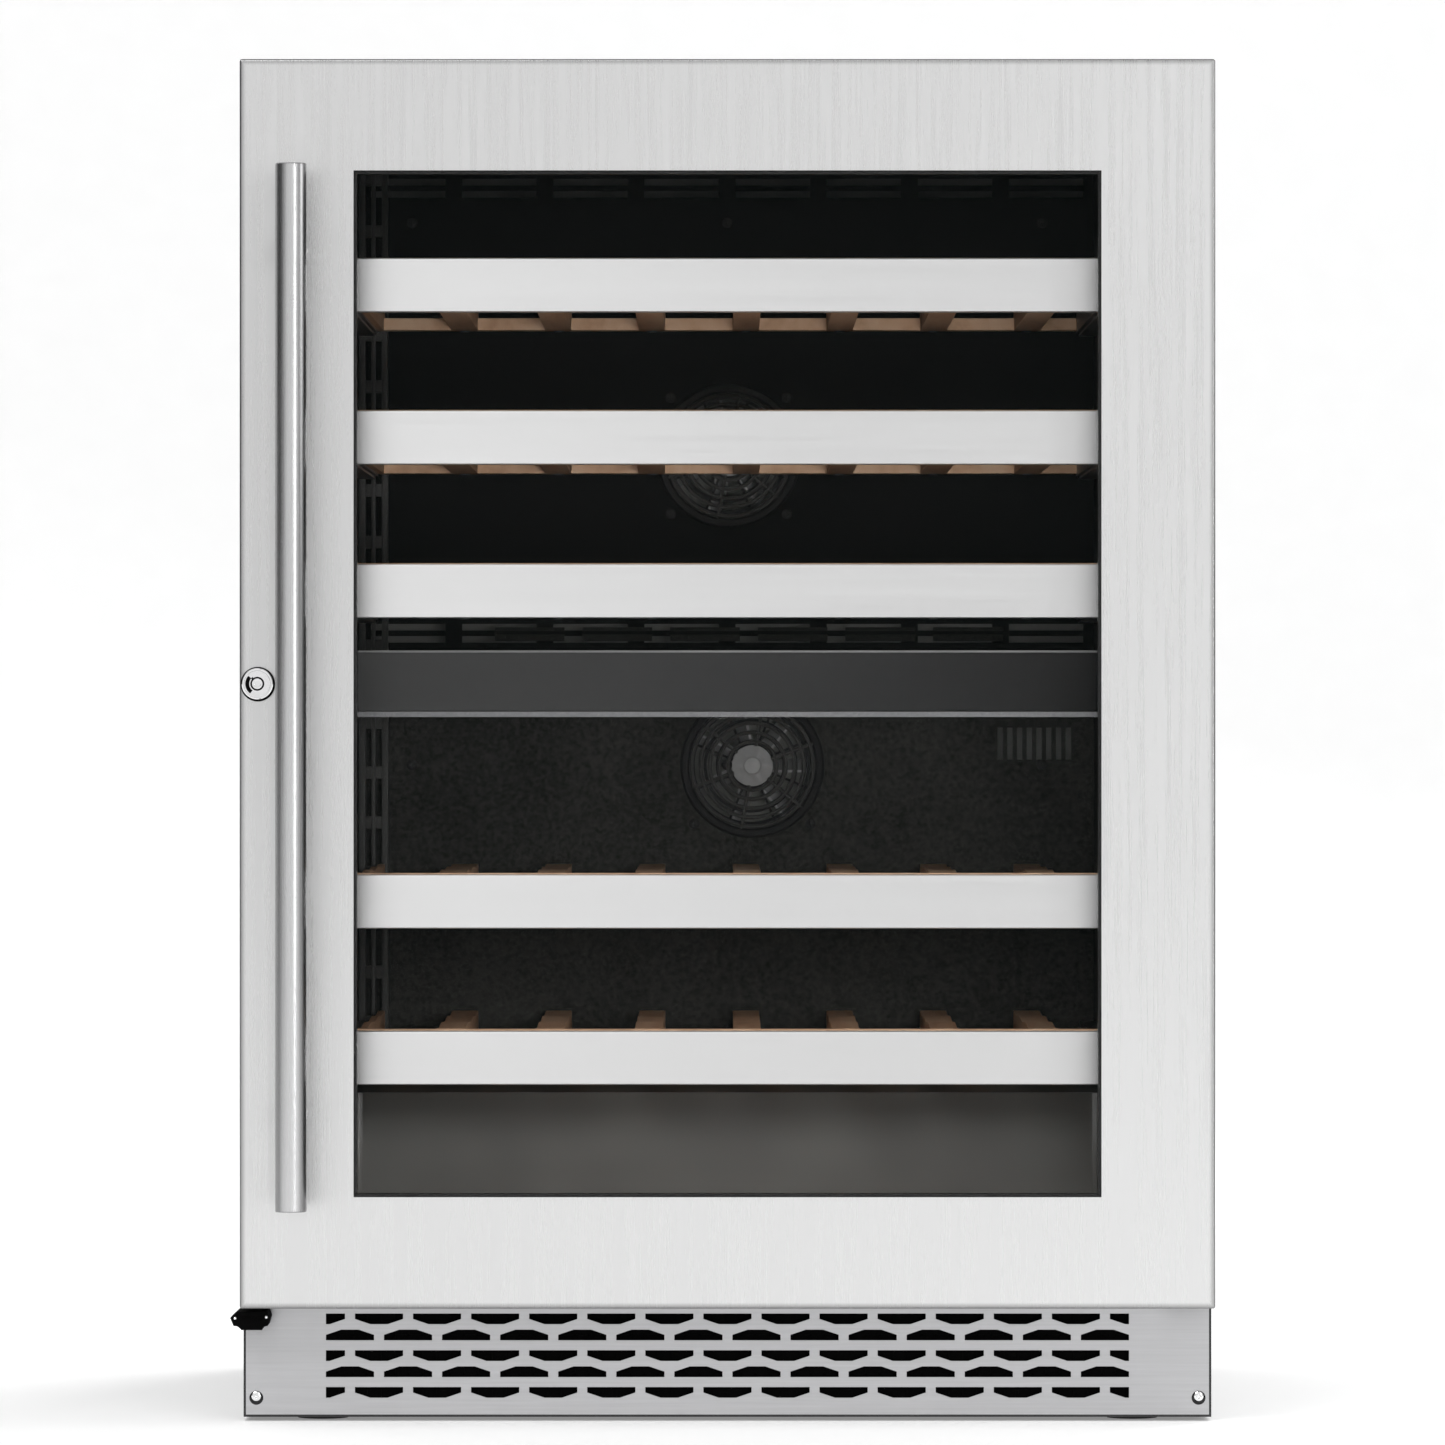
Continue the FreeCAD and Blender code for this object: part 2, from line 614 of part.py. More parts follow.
def shelf(number):
    """One sliding shelf: steel front, slatted rack and a pair of sliding rails."""
    low = f"shelf_{number}_low"
    rear_of_face = "face_front + face_thick"
    front = body_of(f"shelf_{number}_front")
    sketch = plane_sketch(front, "XZ_Plane", f"shelf_{number}_outline", f"-({rear_of_face})")
    pad(front, rectangle(sketch, "-face_half", "face_half", low, f"{low} + face"), "face_thick")
    soften(front, "Fillet", "1", lambda e: e.CenterOfMass.y < WORDS["face_front"] + 0.1)
    part(front, f"shelf_{number}_front")
    name = f"shelf_{number}_rack"
    base, after_backing = f"{low} + hung_rise", f"{rear_of_face} + backing"
    pieces = slatted_rack(name, "rail_half", (after_backing, "rack_back"), [after_backing, "rack_back - 20"],
                          (base, f"{base} + 8"), (base, f"{low} + 23"), ("hung_pitch", "hung_shift"))
    backing = block(name + "_backing", ("-rail_half", "rail_half"), (rear_of_face, after_backing),
                    (f"{low} + 2", f"{low} + backing_top"))
    part(fuse(name, pieces + [backing]), name)
    rails = []
    for side in (-1, 1):
        across = in_order(f"{side} * rail_half", f"{side} * (half - 2.5)")
        rails.append(block(f"shelf_{number}_rail", across, ("-184", "204"),
                           (f"{low} + 2.9", f"{low} + runner - 0.9")))
    part(group(f"shelf_{number}_rails", rails), f"shelf_{number}_rails")


def floor_rack():
    """Low slatted rack on the cavity floor in front of the step."""
    pieces = slatted_rack("floor_rack", "half - 8", ("-190", "30"), ["-190", "10"],
                          ("floor", "floor + 10"), ("floor + 10", "floor + 16"), ("floor_pitch", "0"))
    part(fuse("floor_rack", pieces), "floor_rack")


# ---------------------------------------------------------------- machine bay


def machine_bay():
    """Compressor, condenser with its fan, drip tray, electrics and tubes."""
    pan_top = WORDS["pan_low"] + WORDS["pan_plate"]
    dome = turned("compressor_dome", [("0", "24"), ("52", "24"), ("68", "34"), ("74", "52"), ("74", "104"),
                                      ("66", "126"), ("46", "138"), ("20", "142"), ("0", "142")],
                  "150", "200")
    plate = block("compressor_plate", ("55", "245"), ("150", "250"), ("21", "24"))
    mounts = [rod("compressor_mount", "z", (x, y, "pan_low + pan_plate"), "24 - pan_low - pan_plate", "9")
              for x in ("67", "233") for y in ("162", "238")]
    terminal = block("compressor_terminal", ("135", "165"), ("125", "135"), ("60", "95"))
    part(fuse("compressor", [dome, plate, terminal] + mounts), "compressor")

    tubes = [(y, z) for y in ("-150", "-110", "-70", "-30", "10") for z in ("25", "47")]
    part(finned_coil("condenser", ("-190", "190"), ("-170", "30"), ("15", "57"), tubes, 39), "condenser")

    square = block("bay_fan_square", ("-125", "-5"), ("85", "110"), ("pan_low + pan_plate", "133.2"))
    bore = rod("bay_fan_bore", "y", ("-65", "84", "73.2"), "27", "56")
    arms = [block("bay_fan_arm", ("-124", "-6"), ("106", "109"), ("71.2", "75.2")),
            block("bay_fan_arm", ("-67", "-63"), ("106", "109"), ("14.2", "132.2"))]
    frame = cut("bay_fan_frame", square, [bore])
    part(fuse("condenser_fan_housing", [frame] + arms), "condenser_fan_housing")
    rotor("condenser_fan_rotor", "-65", "86", "73.2", "54", "18", 7)

    tray = block("tray_outer", ("-110", "40"), ("130", "300"), (str(pan_top), "32"))
    hollow = block("tray_inner", ("-108", "38"), ("132", "298"), (f"{pan_top} + 2", "40"))
    part(cut("drain_tray", tray, [hollow]), "drain_tray")

    case = block("board_case", ("-238", "-125"), ("230", "300"), (str(pan_top), "105"))
    part(rounded("power_board_box", case, 4, lambda edge: runs_along(edge, 2)), "power_board_box")

    flange = block("inlet_flange", ("236", "272"), ("cab_back", "cab_back + 2"), ("42", "70"))
    body = block("inlet_body", ("240", "268"), ("cab_back - 24", "cab_back"), ("46", "66"))
    recess = block("inlet_recess", ("243", "265"), ("cab_back - 16", "cab_back + 3"), ("49", "63"))
    pins = [block("inlet_pin", (x, f"{x} + 2"), ("cab_back - 17", "cab_back - 4"), ("54", "58"))
            for x in ("246", "253", "260")]
    socket = cut("inlet_socket", fuse("inlet_shape", [flange, body]), [recess])
    part(fuse("power_inlet", [socket] + pins), "power_inlet")


def tube_path(points, bend):
    """Straight runs joined by tangent arcs."""
    spots = [FreeCAD.Vector(*point) for point in points]
    edges = []
    start = spots[0]
    for before, corner, after in zip(spots, spots[1:], spots[2:]):
        into = (before - corner).normalize()
        out = (after - corner).normalize()
        half_angle = into.getAngle(out) / 2
        reach = bend / math.tan(half_angle)
        first, last = corner + into * reach, corner + out * reach
        centre = corner + (into + out).normalize() * (bend / math.sin(half_angle))
        middle = centre + (corner - centre).normalize() * bend
        edges += [Part.LineSegment(start, first).toShape(), Part.Arc(first, middle, last).toShape()]
        start = last
    edges.append(Part.LineSegment(start, spots[-1]).toShape())
    return Part.Wire(edges)


def refrigerant_tubes():
    """Copper lines between the compressor, the condenser and the bay's ceiling."""
    routes = [
        [(110, 264.3, 60), (110, 285, 60), (110, 285, 120), (60, 285, 120), (60, 285, 149)],
        [(190, 264.3, 50), (190, 285, 50), (270, 285, 50), (270, 40, 50), (215, 40, 50), (215, 10, 50)],
    ]
    lines = []
    for route in routes:
        path = tube_path(route, 12)
        across = (FreeCAD.Vector(*route[1]) - FreeCAD.Vector(*route[0])).normalize()
        section = Part.Wire([Part.makeCircle(3, FreeCAD.Vector(*route[0]), across)])
        lines.append(path.makePipeShell([section], True, True))
    tubes = doc.addObject("Part::Feature", "refrigerant_tubes")
    tubes.Shape = Part.makeCompound(lines)
    tubes.Placement = FreeCAD.Placement()
    part(tubes, "refrigerant_tubes")


# ---------------------------------------------------------------- base


def kick_plate():
    """Front grille: staggered rows of slots with one narrowed edge."""
    plate = sheet_body("kick_plate", ("-kick_width / 2", "kick_width / 2"), ("kick_low", "kick_top"),
                       "cab_front + plate", "plate")

    def slot(name, centre, low, flip):
        wide, narrow = "slot_width / 2", "slot_end / 2"
        if flip:
            points = [(f"{centre} - {wide}", low), (f"{centre} + {wide}", low),
                      (f"{centre} + {wide}", f"{low} + slot_side"),
                      (f"{centre} + {narrow}", f"{low} + slot_drop"),
                      (f"{centre} - {narrow}", f"{low} + slot_drop"),
                      (f"{centre} - {wide}", f"{low} + slot_side")]
        else:
            points = [(f"{centre} - {wide}", f"{low} + slot_drop"),
                      (f"{centre} - {wide}", f"{low} + slot_drop - slot_side"),
                      (f"{centre} - {narrow}", low), (f"{centre} + {narrow}", low),
                      (f"{centre} + {wide}", f"{low} + slot_drop - slot_side"),
                      (f"{centre} + {wide}", f"{low} + slot_drop")]
        return pocket(plate, outline(opening(plate, name, "cab_front"), points))

    spread(plate, slot("drop_slots", "-6 * slot_pitch", "first_row", False),
           (13, "slot_pitch"), (3, "row_pitch"))
    spread(plate, slot("rise_slots", "-6.5 * slot_pitch", "second_row", True),
           (14, "slot_pitch"), (2, "row_pitch"))
    for side in (-1, 1):
        inner = f"{side} * (7 * slot_pitch - slot_width / 2)"
        outer = f"{side} * (6.5 * slot_pitch + slot_width / 2)"
        shoulder = f"{side} * (7 * slot_pitch - slot_end / 2)"
        top = "first_row + slot_drop"
        sketch = outline(opening(plate, f"end_slot_{side + 1}", "cab_front"), [
            (inner, top), (inner, f"{top} - slot_side"), (shoulder, "first_row"),
            (outer, "first_row"), (outer, top)])
        spread(plate, pocket(plate, sketch), (1, "slot_pitch"), (3, "row_pitch"))
        hole = circle(opening(plate, f"screw_hole_{side + 1}", "cab_front"),
                      f"{side} * screw_x", "screw_z", "2")
        pocket(plate, hole)
    part(plate, "kick_plate")
    screws = []
    for side in (-1, 1):
        head = rod("screw_head", "y", (f"{side} * screw_x", "cab_front - 2.4", "screw_z"), "2.4", "4.3")
        shank = rod("screw_shank", "y", (f"{side} * screw_x", "cab_front", "screw_z"), "6", "1.98")
        screws.append(fuse("kick_plate_screw", [head, shank]))
    part(group("kick_plate_screws", screws), "kick_plate_screws")


def feet():
    """Levelling feet in front, plain ones at the rear."""
    def profile(stud_top):
        return [("0", "0"), ("foot_radius", "0"), ("foot_radius", "5"), ("foot_radius - 3", "8"),
                ("5", "8"), ("5", stud_top), ("0", stud_top)]
    for name, side in (("left", -1), ("right", 1)):
        foot = turned(f"front_foot_{name}", profile("55"), f"{side} * foot_x", "foot_front")
        part(foot, f"front_foot_{name}")
    rear = [turned(f"rear_foot_{side + 1}", profile("22"), f"{side} * foot_x", "foot_rear")
            for side in (-1, 1)]
    part(group("rear_feet", rear), "rear_feet")


# ---------------------------------------------------------------- hinges and stop


def hinge_bracket(label, tongue_low, pin_low, plate_z):
    """Steel angle on the flange with a tongue that carries the hinge pin."""
    body = body_of(label)
    flat = plane_sketch(body, "XY_Plane", label + "_tongue", tongue_low)
    pad(body, rectangle(flat, "pin_x - 10", "pin_x + 9.5", "pin_y - 9", "cab_front"), "tongue")
    soften(body, "Fillet", "8", lambda e: runs_along(e, 2) and e.CenterOfMass.y < WORDS["pin_y"])
    upright = plane_sketch(body, "XZ_Plane", label + "_plate", "-(cab_front)")
    pad(body, rectangle(upright, "pin_x - 17", "pin_x + 9.5", plate_z[0], plate_z[1]), "2.5")
    stem = plane_sketch(body, "XY_Plane", label + "_pin", pin_low)
    pad(body, circle(stem, "pin_x", "pin_y", "pin_radius"), "tongue + 18")
    part(body, label)


def hinges():
    door_top = "door_low + door_height"
    upper = f"{door_top} - notch + 2"
    hinge_bracket("hinge_bracket_upper", upper, f"{upper} - 18", (f"{upper} - 28", f"{upper} + tongue"))
    lower = "door_low + notch - 2 - tongue"
    hinge_bracket("hinge_bracket_lower", lower, lower, (lower, f"{lower} + 32"))


def stop_bracket():
    """Spare lower hinge angle on the other side, under a cap, for a door hung the other way."""
    body = body_of("stop_bracket_left")
    top = "door_low - 2.6"
    shape = plane_sketch(body, "XY_Plane", "stop_tongue", f"{top} - 5")
    pad(body, outline(shape, [("-282", "cab_front"), ("-282", "-236"), ("-286", "-240"), ("-297", "-240"),
                              ("-304.5", "-232"), ("-304.5", "-222"), ("-297.5", "-214"),
                              ("-297.5", "cab_front")]), "5")
    foot = plane_sketch(body, "XY_Plane", "stop_block", f"{top} - 9.5")
    pad(body, outline(foot, [("-284", "cab_front"), ("-284", "-234"), ("-298", "-234"), ("-301", "-230"),
                             ("-301", "-222"), ("-297.5", "-218"), ("-297.5", "cab_front")]), "4.5")
    heel = plane_sketch(body, "XY_Plane", "stop_heel", f"{top} - 13.2")
    pad(body, rectangle(heel, "-296", "-287", "-226", "cab_front"), "3.7")
    part(body, "stop_bracket_left")


# ---------------------------------------------------------------- door


def window_block(name, y, margin):
    """A box over the glass opening, larger by a margin all round."""
    return block(name, (f"-window_width / 2 - ({margin})", f"window_width / 2 + ({margin})"), y,
                 (f"window_low - ({margin})", f"window_low + window_height + ({margin})"))


def hinge_notches(name):
    """Corner notches, behind the front skin, where the hinge tongues swing."""
    across = ("pin_x - 16", "door_width / 2 + 1")
    deep = ("door_front + skin", "door_back + 1")
    top = "door_low + door_height"
    return [block(name + "_top", across, deep, (f"{top} - notch", f"{top} + 1")),
            block(name + "_low", across, deep, ("door_low - 1", "door_low + notch"))]


def door_shell():
    """Brushed skin, inner frame, seal, two panes and their spacer."""
    side, top = "door_width / 2", "door_low + door_height"
    outer = block("skin_outer", (f"-{side}", side), ("door_front", "door_back - 2"), ("door_low", top))
    soft = rounded("skin_round", outer, 1.5, lambda e: e.CenterOfMass.y < WORDS["door_front"] + 0.1
                   or runs_along(e, 1))
    inner = block("skin_inner", (f"-{side} + skin", f"{side} - skin"), ("door_front + skin", "door_back"),
                  ("door_low + skin", f"{top} - skin"))
    bore = rod("skin_bore", "y", ("lock_x", "door_front - 2", "lock_z"), "6", "8")
    window = window_block("skin_window", ("door_front - 2", "door_back"), "0")
    part(cut("door_frame", soft, [inner, window, bore] + hinge_notches("skin_notch")), "door_frame")

    core = block("core_outer", (f"-{side} + skin", f"{side} - skin"), ("door_front + skin", "door_back"),
                 ("door_low + skin", f"{top} - skin"))
    glass_back = "door_front + skin + 2 * pane + pane_gap"
    rebate_cut = window_block("core_rebate", ("door_front", glass_back), "rebate")
    through = window_block("core_window", ("door_front", "door_back + 2"), "0")
    lock_bore = rod("core_bore", "y", ("lock_x", "door_front", "lock_z"), "60", "8")
    cups = [rod("core_cup", "z", ("pin_x", "pin_y", low), "19", "7")
            for low in (f"{top} - notch - 19", "door_low + notch")]
    part(cut("door_inner_frame", core, [rebate_cut, through, lock_bore] + cups + hinge_notches("core_notch")),
         "door_inner_frame")

    sleeves = []
    for low, shoulder in ((f"{top} - notch - 18", f"{top} - notch"),
                          ("door_low + notch", "door_low + notch - 1")):
        sleeve = rod("sleeve", "z", ("pin_x", "pin_y", low), "18", "7")
        rim = rod("sleeve_rim", "z", ("pin_x", "pin_y", shoulder), "1", "9")
        hole = rod("sleeve_hole", "z", ("pin_x", "pin_y", f"{low} - 2"), "24", "pin_radius + 0.05")
        sleeves.append(cut("hinge_sleeve", fuse("sleeve_shape", [sleeve, rim]), [hole]))
    part(group("hinge_bushings", sleeves), "hinge_bushings")

    seal_mid = "(door_low + door_low + door_height) / 2"
    deep = ("door_back", "cab_front - 0.3")
    tall = ("floor - 22", "ceiling + 22")
    ring = block("seal_outer_box", ("-seal_outer", "seal_outer"), deep, tall)
    hole = block("seal_inner_box", ("-seal_outer + seal_width", "seal_outer - seal_width"),
                 ("door_back - 1", "cab_front + 1"), (f"{tall[0]} + seal_width", f"{tall[1]} - seal_width"))
    part(cut("door_gasket", ring, [hole]), "door_gasket")

    first = "door_front + skin"
    part(window_block("glass_outer", (first, f"{first} + pane"), "rebate - 0.5"), "glass_outer")
    second = f"{first} + pane + pane_gap"
    part(window_block("glass_inner", (second, f"{second} + pane"), "rebate - 0.5"), "glass_inner")
    full = window_block("spacer_outer", (f"{first} + pane", second), "rebate - 0.5")
    clear = window_block("spacer_inner", (f"{first} + pane - 1", f"{second} + 1"), "-1.8")
    part(cut("glass_spacer", full, [clear]), "glass_spacer")


def handle():
    """Round bar on two posts."""
    bar = body_of("handle_bar")
    sketch = circle(plane_sketch(bar, "XY_Plane", "bar_section", "bar_low"), "bar_x", "bar_y", "bar_radius")
    pad(bar, sketch, "bar_length")
    soften(bar, "Chamfer", "0.6", lambda e: not runs_along(e, 2))
    part(bar, "handle_bar")
    posts = []
    for side in (-1, 1):
        height = f"door_low + door_height / 2 + {side} * post_spread"
        stem = rod("post_stem", "y", ("bar_x", "bar_y", height), "door_front - bar_y", "post_radius")
        saddle = rod("post_saddle", "z", ("bar_x", "bar_y", f"{height} - 20"), "40", "bar_radius")
        posts.append(cut("handle_post", stem, [saddle]))
    part(group("handle_posts", posts), "handle_posts")


def lock():
    """Cam lock: a fixed cylinder in the door and a plug that turns a cam behind the flange."""
    rim = rod("lock_rim", "y", ("lock_x", "door_front - 3.6", "lock_z"), "3.6", "lock_radius")
    barrel = rod("lock_barrel", "y", ("lock_x", "door_front", "lock_z"), "door_back - door_front + 1", "8")
    soft = rounded("lock_soft_rim", rim, 1.2, lambda e: e.CenterOfMass.y < WORDS["door_front"] - 3)
    hole = rod("lock_hole", "y", ("lock_x", "door_front - 5", "lock_z"), "60", "plug_radius + 0.03")
    part(cut("lock_cylinder", fuse("lock_shape", [soft, barrel]), [hole]), "lock_cylinder")
    core = rod("plug_core", "y", ("lock_x", "door_front - 3.2", "lock_z"), "47", "plug_radius")
    tail = rod("plug_tail", "y", ("lock_x", "door_front + 43", "lock_z"), "12", "4")
    cam = block("plug_cam", ("lock_x - 5", "lock_x + 5"), ("cab_front + 1.6", "cab_front + 4.6"),
                ("lock_z - 6", "lock_z + 18"))
    keyway = rod("plug_keyway", "y", ("lock_x", "door_front - 4", "lock_z"), "5", "4.2")
    pin = rod("plug_pin", "y", ("lock_x", "door_front - 3.2", "lock_z"), "5", "3.2")
    socket = cut("plug_socket", fuse("plug_shape", [core, tail, cam]), [keyway])
    part(fuse("lock_plug", [socket, pin]), "lock_plug")


# ---------------------------------------------------------------- assembly and export

cabinet_wrapper()
front_flange()
back_panel()
base_pan()
insulation_foam()
liner()
divider()
air_covers()
zone_fans()
evaporators()
runners()
for number in range(1, 6):
    shelf(number)
floor_rack()
machine_bay()
refrigerant_tubes()
kick_plate()
feet()
hinges()
stop_bracket()
door_shell()
handle()
lock()
doc.recompute()

for thing in doc.Objects:
    if {"Invalid", "Error"} & set(thing.State):
        raise RuntimeError(f"{thing.Label} did not compute")
os.makedirs("parts", exist_ok=True)
for thing in PARTS:
    if thing.Shape.isNull() or not thing.Shape.isValid():
        raise RuntimeError(f"{thing.Label} has no valid shape")
    thing.Shape.exportStep(f"parts/{thing.Label}.step")
print(len(PARTS), "sub-parts written")
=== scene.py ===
import json
import math
import bmesh
import bpy
from mathutils import Matrix, Vector


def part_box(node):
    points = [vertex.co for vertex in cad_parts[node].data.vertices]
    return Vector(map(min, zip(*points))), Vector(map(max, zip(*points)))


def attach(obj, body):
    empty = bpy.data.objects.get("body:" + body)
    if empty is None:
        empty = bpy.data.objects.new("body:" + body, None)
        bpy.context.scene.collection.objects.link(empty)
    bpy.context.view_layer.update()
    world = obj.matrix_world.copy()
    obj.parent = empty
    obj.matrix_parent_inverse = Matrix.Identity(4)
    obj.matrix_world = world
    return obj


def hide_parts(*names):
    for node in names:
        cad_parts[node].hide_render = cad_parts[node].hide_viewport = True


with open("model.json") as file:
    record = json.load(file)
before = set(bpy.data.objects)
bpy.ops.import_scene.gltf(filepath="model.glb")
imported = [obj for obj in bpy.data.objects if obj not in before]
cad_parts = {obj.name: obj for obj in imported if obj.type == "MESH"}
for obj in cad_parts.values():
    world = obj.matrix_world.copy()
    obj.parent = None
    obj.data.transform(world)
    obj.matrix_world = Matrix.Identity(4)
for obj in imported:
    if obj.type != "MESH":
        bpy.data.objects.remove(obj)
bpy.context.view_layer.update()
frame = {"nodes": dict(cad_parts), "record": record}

MM = 0.001
NODES = frame["nodes"]
SHELVES = range(1, 6)


# ------------------------------------------------------------------ materials


class Shader:
    """A Principled material and the few nodes that its texture needs."""

    def __init__(self, name, **sockets):
        self.material = bpy.data.materials.new(name)
        self.material.use_nodes = True
        self.tree = self.material.node_tree
        self.bsdf = self.tree.nodes["Principled BSDF"]
        for socket, value in sockets.items():
            self.bsdf.inputs[socket.replace("_", " ")].default_value = value

    def node(self, kind, **settings):
        made = self.tree.nodes.new(kind)
        for key, value in settings.items():
            if hasattr(made, key):
                setattr(made, key, value)
            else:
                made.inputs[key.replace("_", " ")].default_value = value
        return made

    def link(self, out, into):
        self.tree.links.new(out, into)

    def coordinates(self, scale):
        """Object coordinates in metres, stretched by a scale for each axis."""
        source = self.node("ShaderNodeTexCoord")
        mapping = self.node("ShaderNodeMapping")
        mapping.inputs["Scale"].default_value = scale
        self.link(source.outputs["Object"], mapping.inputs["Vector"])
        return mapping.outputs["Vector"]

    def noise(self, scale, detail=4.0, size=1.0, roughness=0.55):
        made = self.node("ShaderNodeTexNoise", Scale=size, Detail=detail, Roughness=roughness)
        self.link(self.coordinates(scale), made.inputs["Vector"])
        return made.outputs["Fac"]

    def ramp(self, factor, stops):
        made = self.node("ShaderNodeValToRGB")
        steps = made.color_ramp.elements
        while len(steps) < len(stops):
            steps.new(0.5)
        for step, (place, colour) in zip(steps, stops):
            step.position = place
            step.color = (*colour, 1)
        self.link(factor, made.inputs["Fac"])
        return made.outputs["Color"]

    def spread(self, factor, low, high, start=0.3, end=0.7):
        made = self.node("ShaderNodeMapRange")
        for socket, value in (("From Min", start), ("From Max", end), ("To Min", low), ("To Max", high)):
            made.inputs[socket].default_value = value
        self.link(factor, made.inputs["Value"])
        return made.outputs["Result"]

    def colour(self, output):
        self.link(output, self.bsdf.inputs["Base Color"])

    def roughness(self, output):
        self.link(output, self.bsdf.inputs["Roughness"])

    def bump(self, height, strength, distance):
        made = self.node("ShaderNodeBump", Strength=strength, Distance=distance)
        self.link(height, made.inputs["Height"])
        before = self.bsdf.inputs["Normal"].links
        if before:
            self.link(before[0].from_socket, made.inputs["Normal"])
        self.link(made.outputs["Normal"], self.bsdf.inputs["Normal"])


def shade(colour, factor):
    """A colour made darker or lighter."""
    return tuple(min(1.0, channel * factor) for channel in colour)


def brushed_metal(name, colour, grain, rough, depth=0.35, cloud=0.05, tangent="Z", painted_edge_shade=None,
                  shaded_back=False):
    """Brushed metal: long fine scratches along the grain and a faint cloudiness, with optional painted shade
    along a front's edges and on faces turned away from the front.
    """
    made = Shader(name, Metallic=1.0, Anisotropic=0.55)
    fine = made.noise(grain, detail=3.0, roughness=0.7)
    broad = made.noise(tuple(g * 0.12 for g in grain), detail=3.0)
    tone = made.ramp(fine, [(0.3, shade(colour, 1 - cloud)), (0.7, shade(colour, 1 + cloud))])
    # Painted shade: the front is darkened over a narrow band at its four edges, as a rounded edge would look
    # under the lights.
    if painted_edge_shade:
        near_edge = edge_shade_band(made, *painted_edge_shade)
        edge_shaded = made.node("ShaderNodeMix", data_type="RGBA", blend_type="MULTIPLY")
        edge_shaded.inputs["Factor"].default_value = 1.0
        made.link(tone, edge_shaded.inputs[6])
        made.link(made.ramp(near_edge, EDGE_SHADE), edge_shaded.inputs[7])
        tone = edge_shaded.outputs[2]
    # Painted shade: faces turned sideways or back towards the door are darkened by the direction of their
    # normal.
    if shaded_back:
        source = made.node("ShaderNodeTexCoord")
        facing = made.node("ShaderNodeSeparateXYZ")
        made.link(source.outputs["Normal"], facing.inputs[0])
        turned = made.spread(facing.outputs["Y"], 0.0, 1.0, -1.0, 0.0)
        back_shaded = made.node("ShaderNodeMix", data_type="RGBA", blend_type="MULTIPLY")
        back_shaded.inputs["Factor"].default_value = 1.0
        made.link(tone, back_shaded.inputs[6])
        made.link(made.ramp(turned, BACK_SHADE), back_shaded.inputs[7])
        tone = back_shaded.outputs[2]
    made.colour(tone)
    mixed = made.node("ShaderNodeMath", operation="ADD")
    made.link(fine, mixed.inputs[0])
    made.link(broad, mixed.inputs[1])
    made.roughness(made.spread(mixed.outputs[0], rough - 0.05, rough + 0.07, 0.7, 1.3))
    made.bump(fine, depth, 0.00005)
    around = made.node("ShaderNodeTangent", direction_type="RADIAL", axis=tangent)
    made.link(around.outputs[0], made.bsdf.inputs["Tangent"])
    return made.material


# Painted shade for faces turned away from the front: none on the front, dark on the sides and back.
BACK_SHADE = [(0.0, (1.0, 1.0, 1.0)), (0.13, (1.0, 1.0, 1.0)), (0.26, (0.62, 0.62, 0.62)),
             (0.55, (0.42, 0.42, 0.42)), (1.0, (0.42, 0.42, 0.42))]
# Painted shade across a front's edge band, from none inside to dark at the very edge.
EDGE_SHADE = [(0.0, (1.0, 1.0, 1.0)), (0.23, (0.89, 0.89, 0.89)), (0.38, (0.77, 0.77, 0.77)),
             (0.54, (0.66, 0.66, 0.66)), (0.69, (0.53, 0.53, 0.53)), (0.85, (0.40, 0.40, 0.40)),
             (1.0, (0.22, 0.22, 0.22))]


def edge_shade_band(made, node, band):
    """0 inside a front and 1 at the four edges of a node's box, rising over a narrow band: the mask for
    painted edge shade.
    """
    low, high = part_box(node)
    source = made.node("ShaderNodeTexCoord")
    axes = made.node("ShaderNodeSeparateXYZ")
    made.link(source.outputs["Object"], axes.inputs[0])

    def maths(kind, one, two):
        added = made.node("ShaderNodeMath", operation=kind)
        for socket, value in zip(added.inputs, (one, two)):
            if hasattr(value, "is_linked"):
                made.link(value, socket)
            else:
                socket.default_value = value
        return added.outputs[0]

    nearest = 1.0
    for axis, start, end in (("X", low.x, high.x), ("Z", low.z, high.z)):
        nearest = maths("MINIMUM", nearest, maths("SUBTRACT", axes.outputs[axis], start))
        nearest = maths("MINIMUM", nearest, maths("SUBTRACT", end, axes.outputs[axis]))
    on_front = maths("LESS_THAN", axes.outputs["Y"], low.y + 1.4 * MM)
    return maths("MULTIPLY", on_front, maths("SUBTRACT", 1.0, maths("DIVIDE", nearest, band)))


def coated_metal(name, colour, rough=0.42, grit=900, peel=0.25):
    """Powder coat: an orange-peel skin over a fine grit."""
    made = Shader(name, Metallic=0.0)
    peel_map = made.noise((grit * 0.35,) * 3, detail=2.0)
    fine = made.noise((grit * 2.2,) * 3, detail=2.0)
    wide = made.noise((6, 6, 6), detail=3.0)
    made.colour(made.ramp(wide, [(0.3, shade(colour, 0.85)), (0.7, shade(colour, 1.15))]))
    made.roughness(made.spread(fine, rough - 0.07, rough + 0.08))
    made.bump(peel_map, peel, 0.0003)
    made.bump(fine, 0.15, 0.00008)
    return made.material


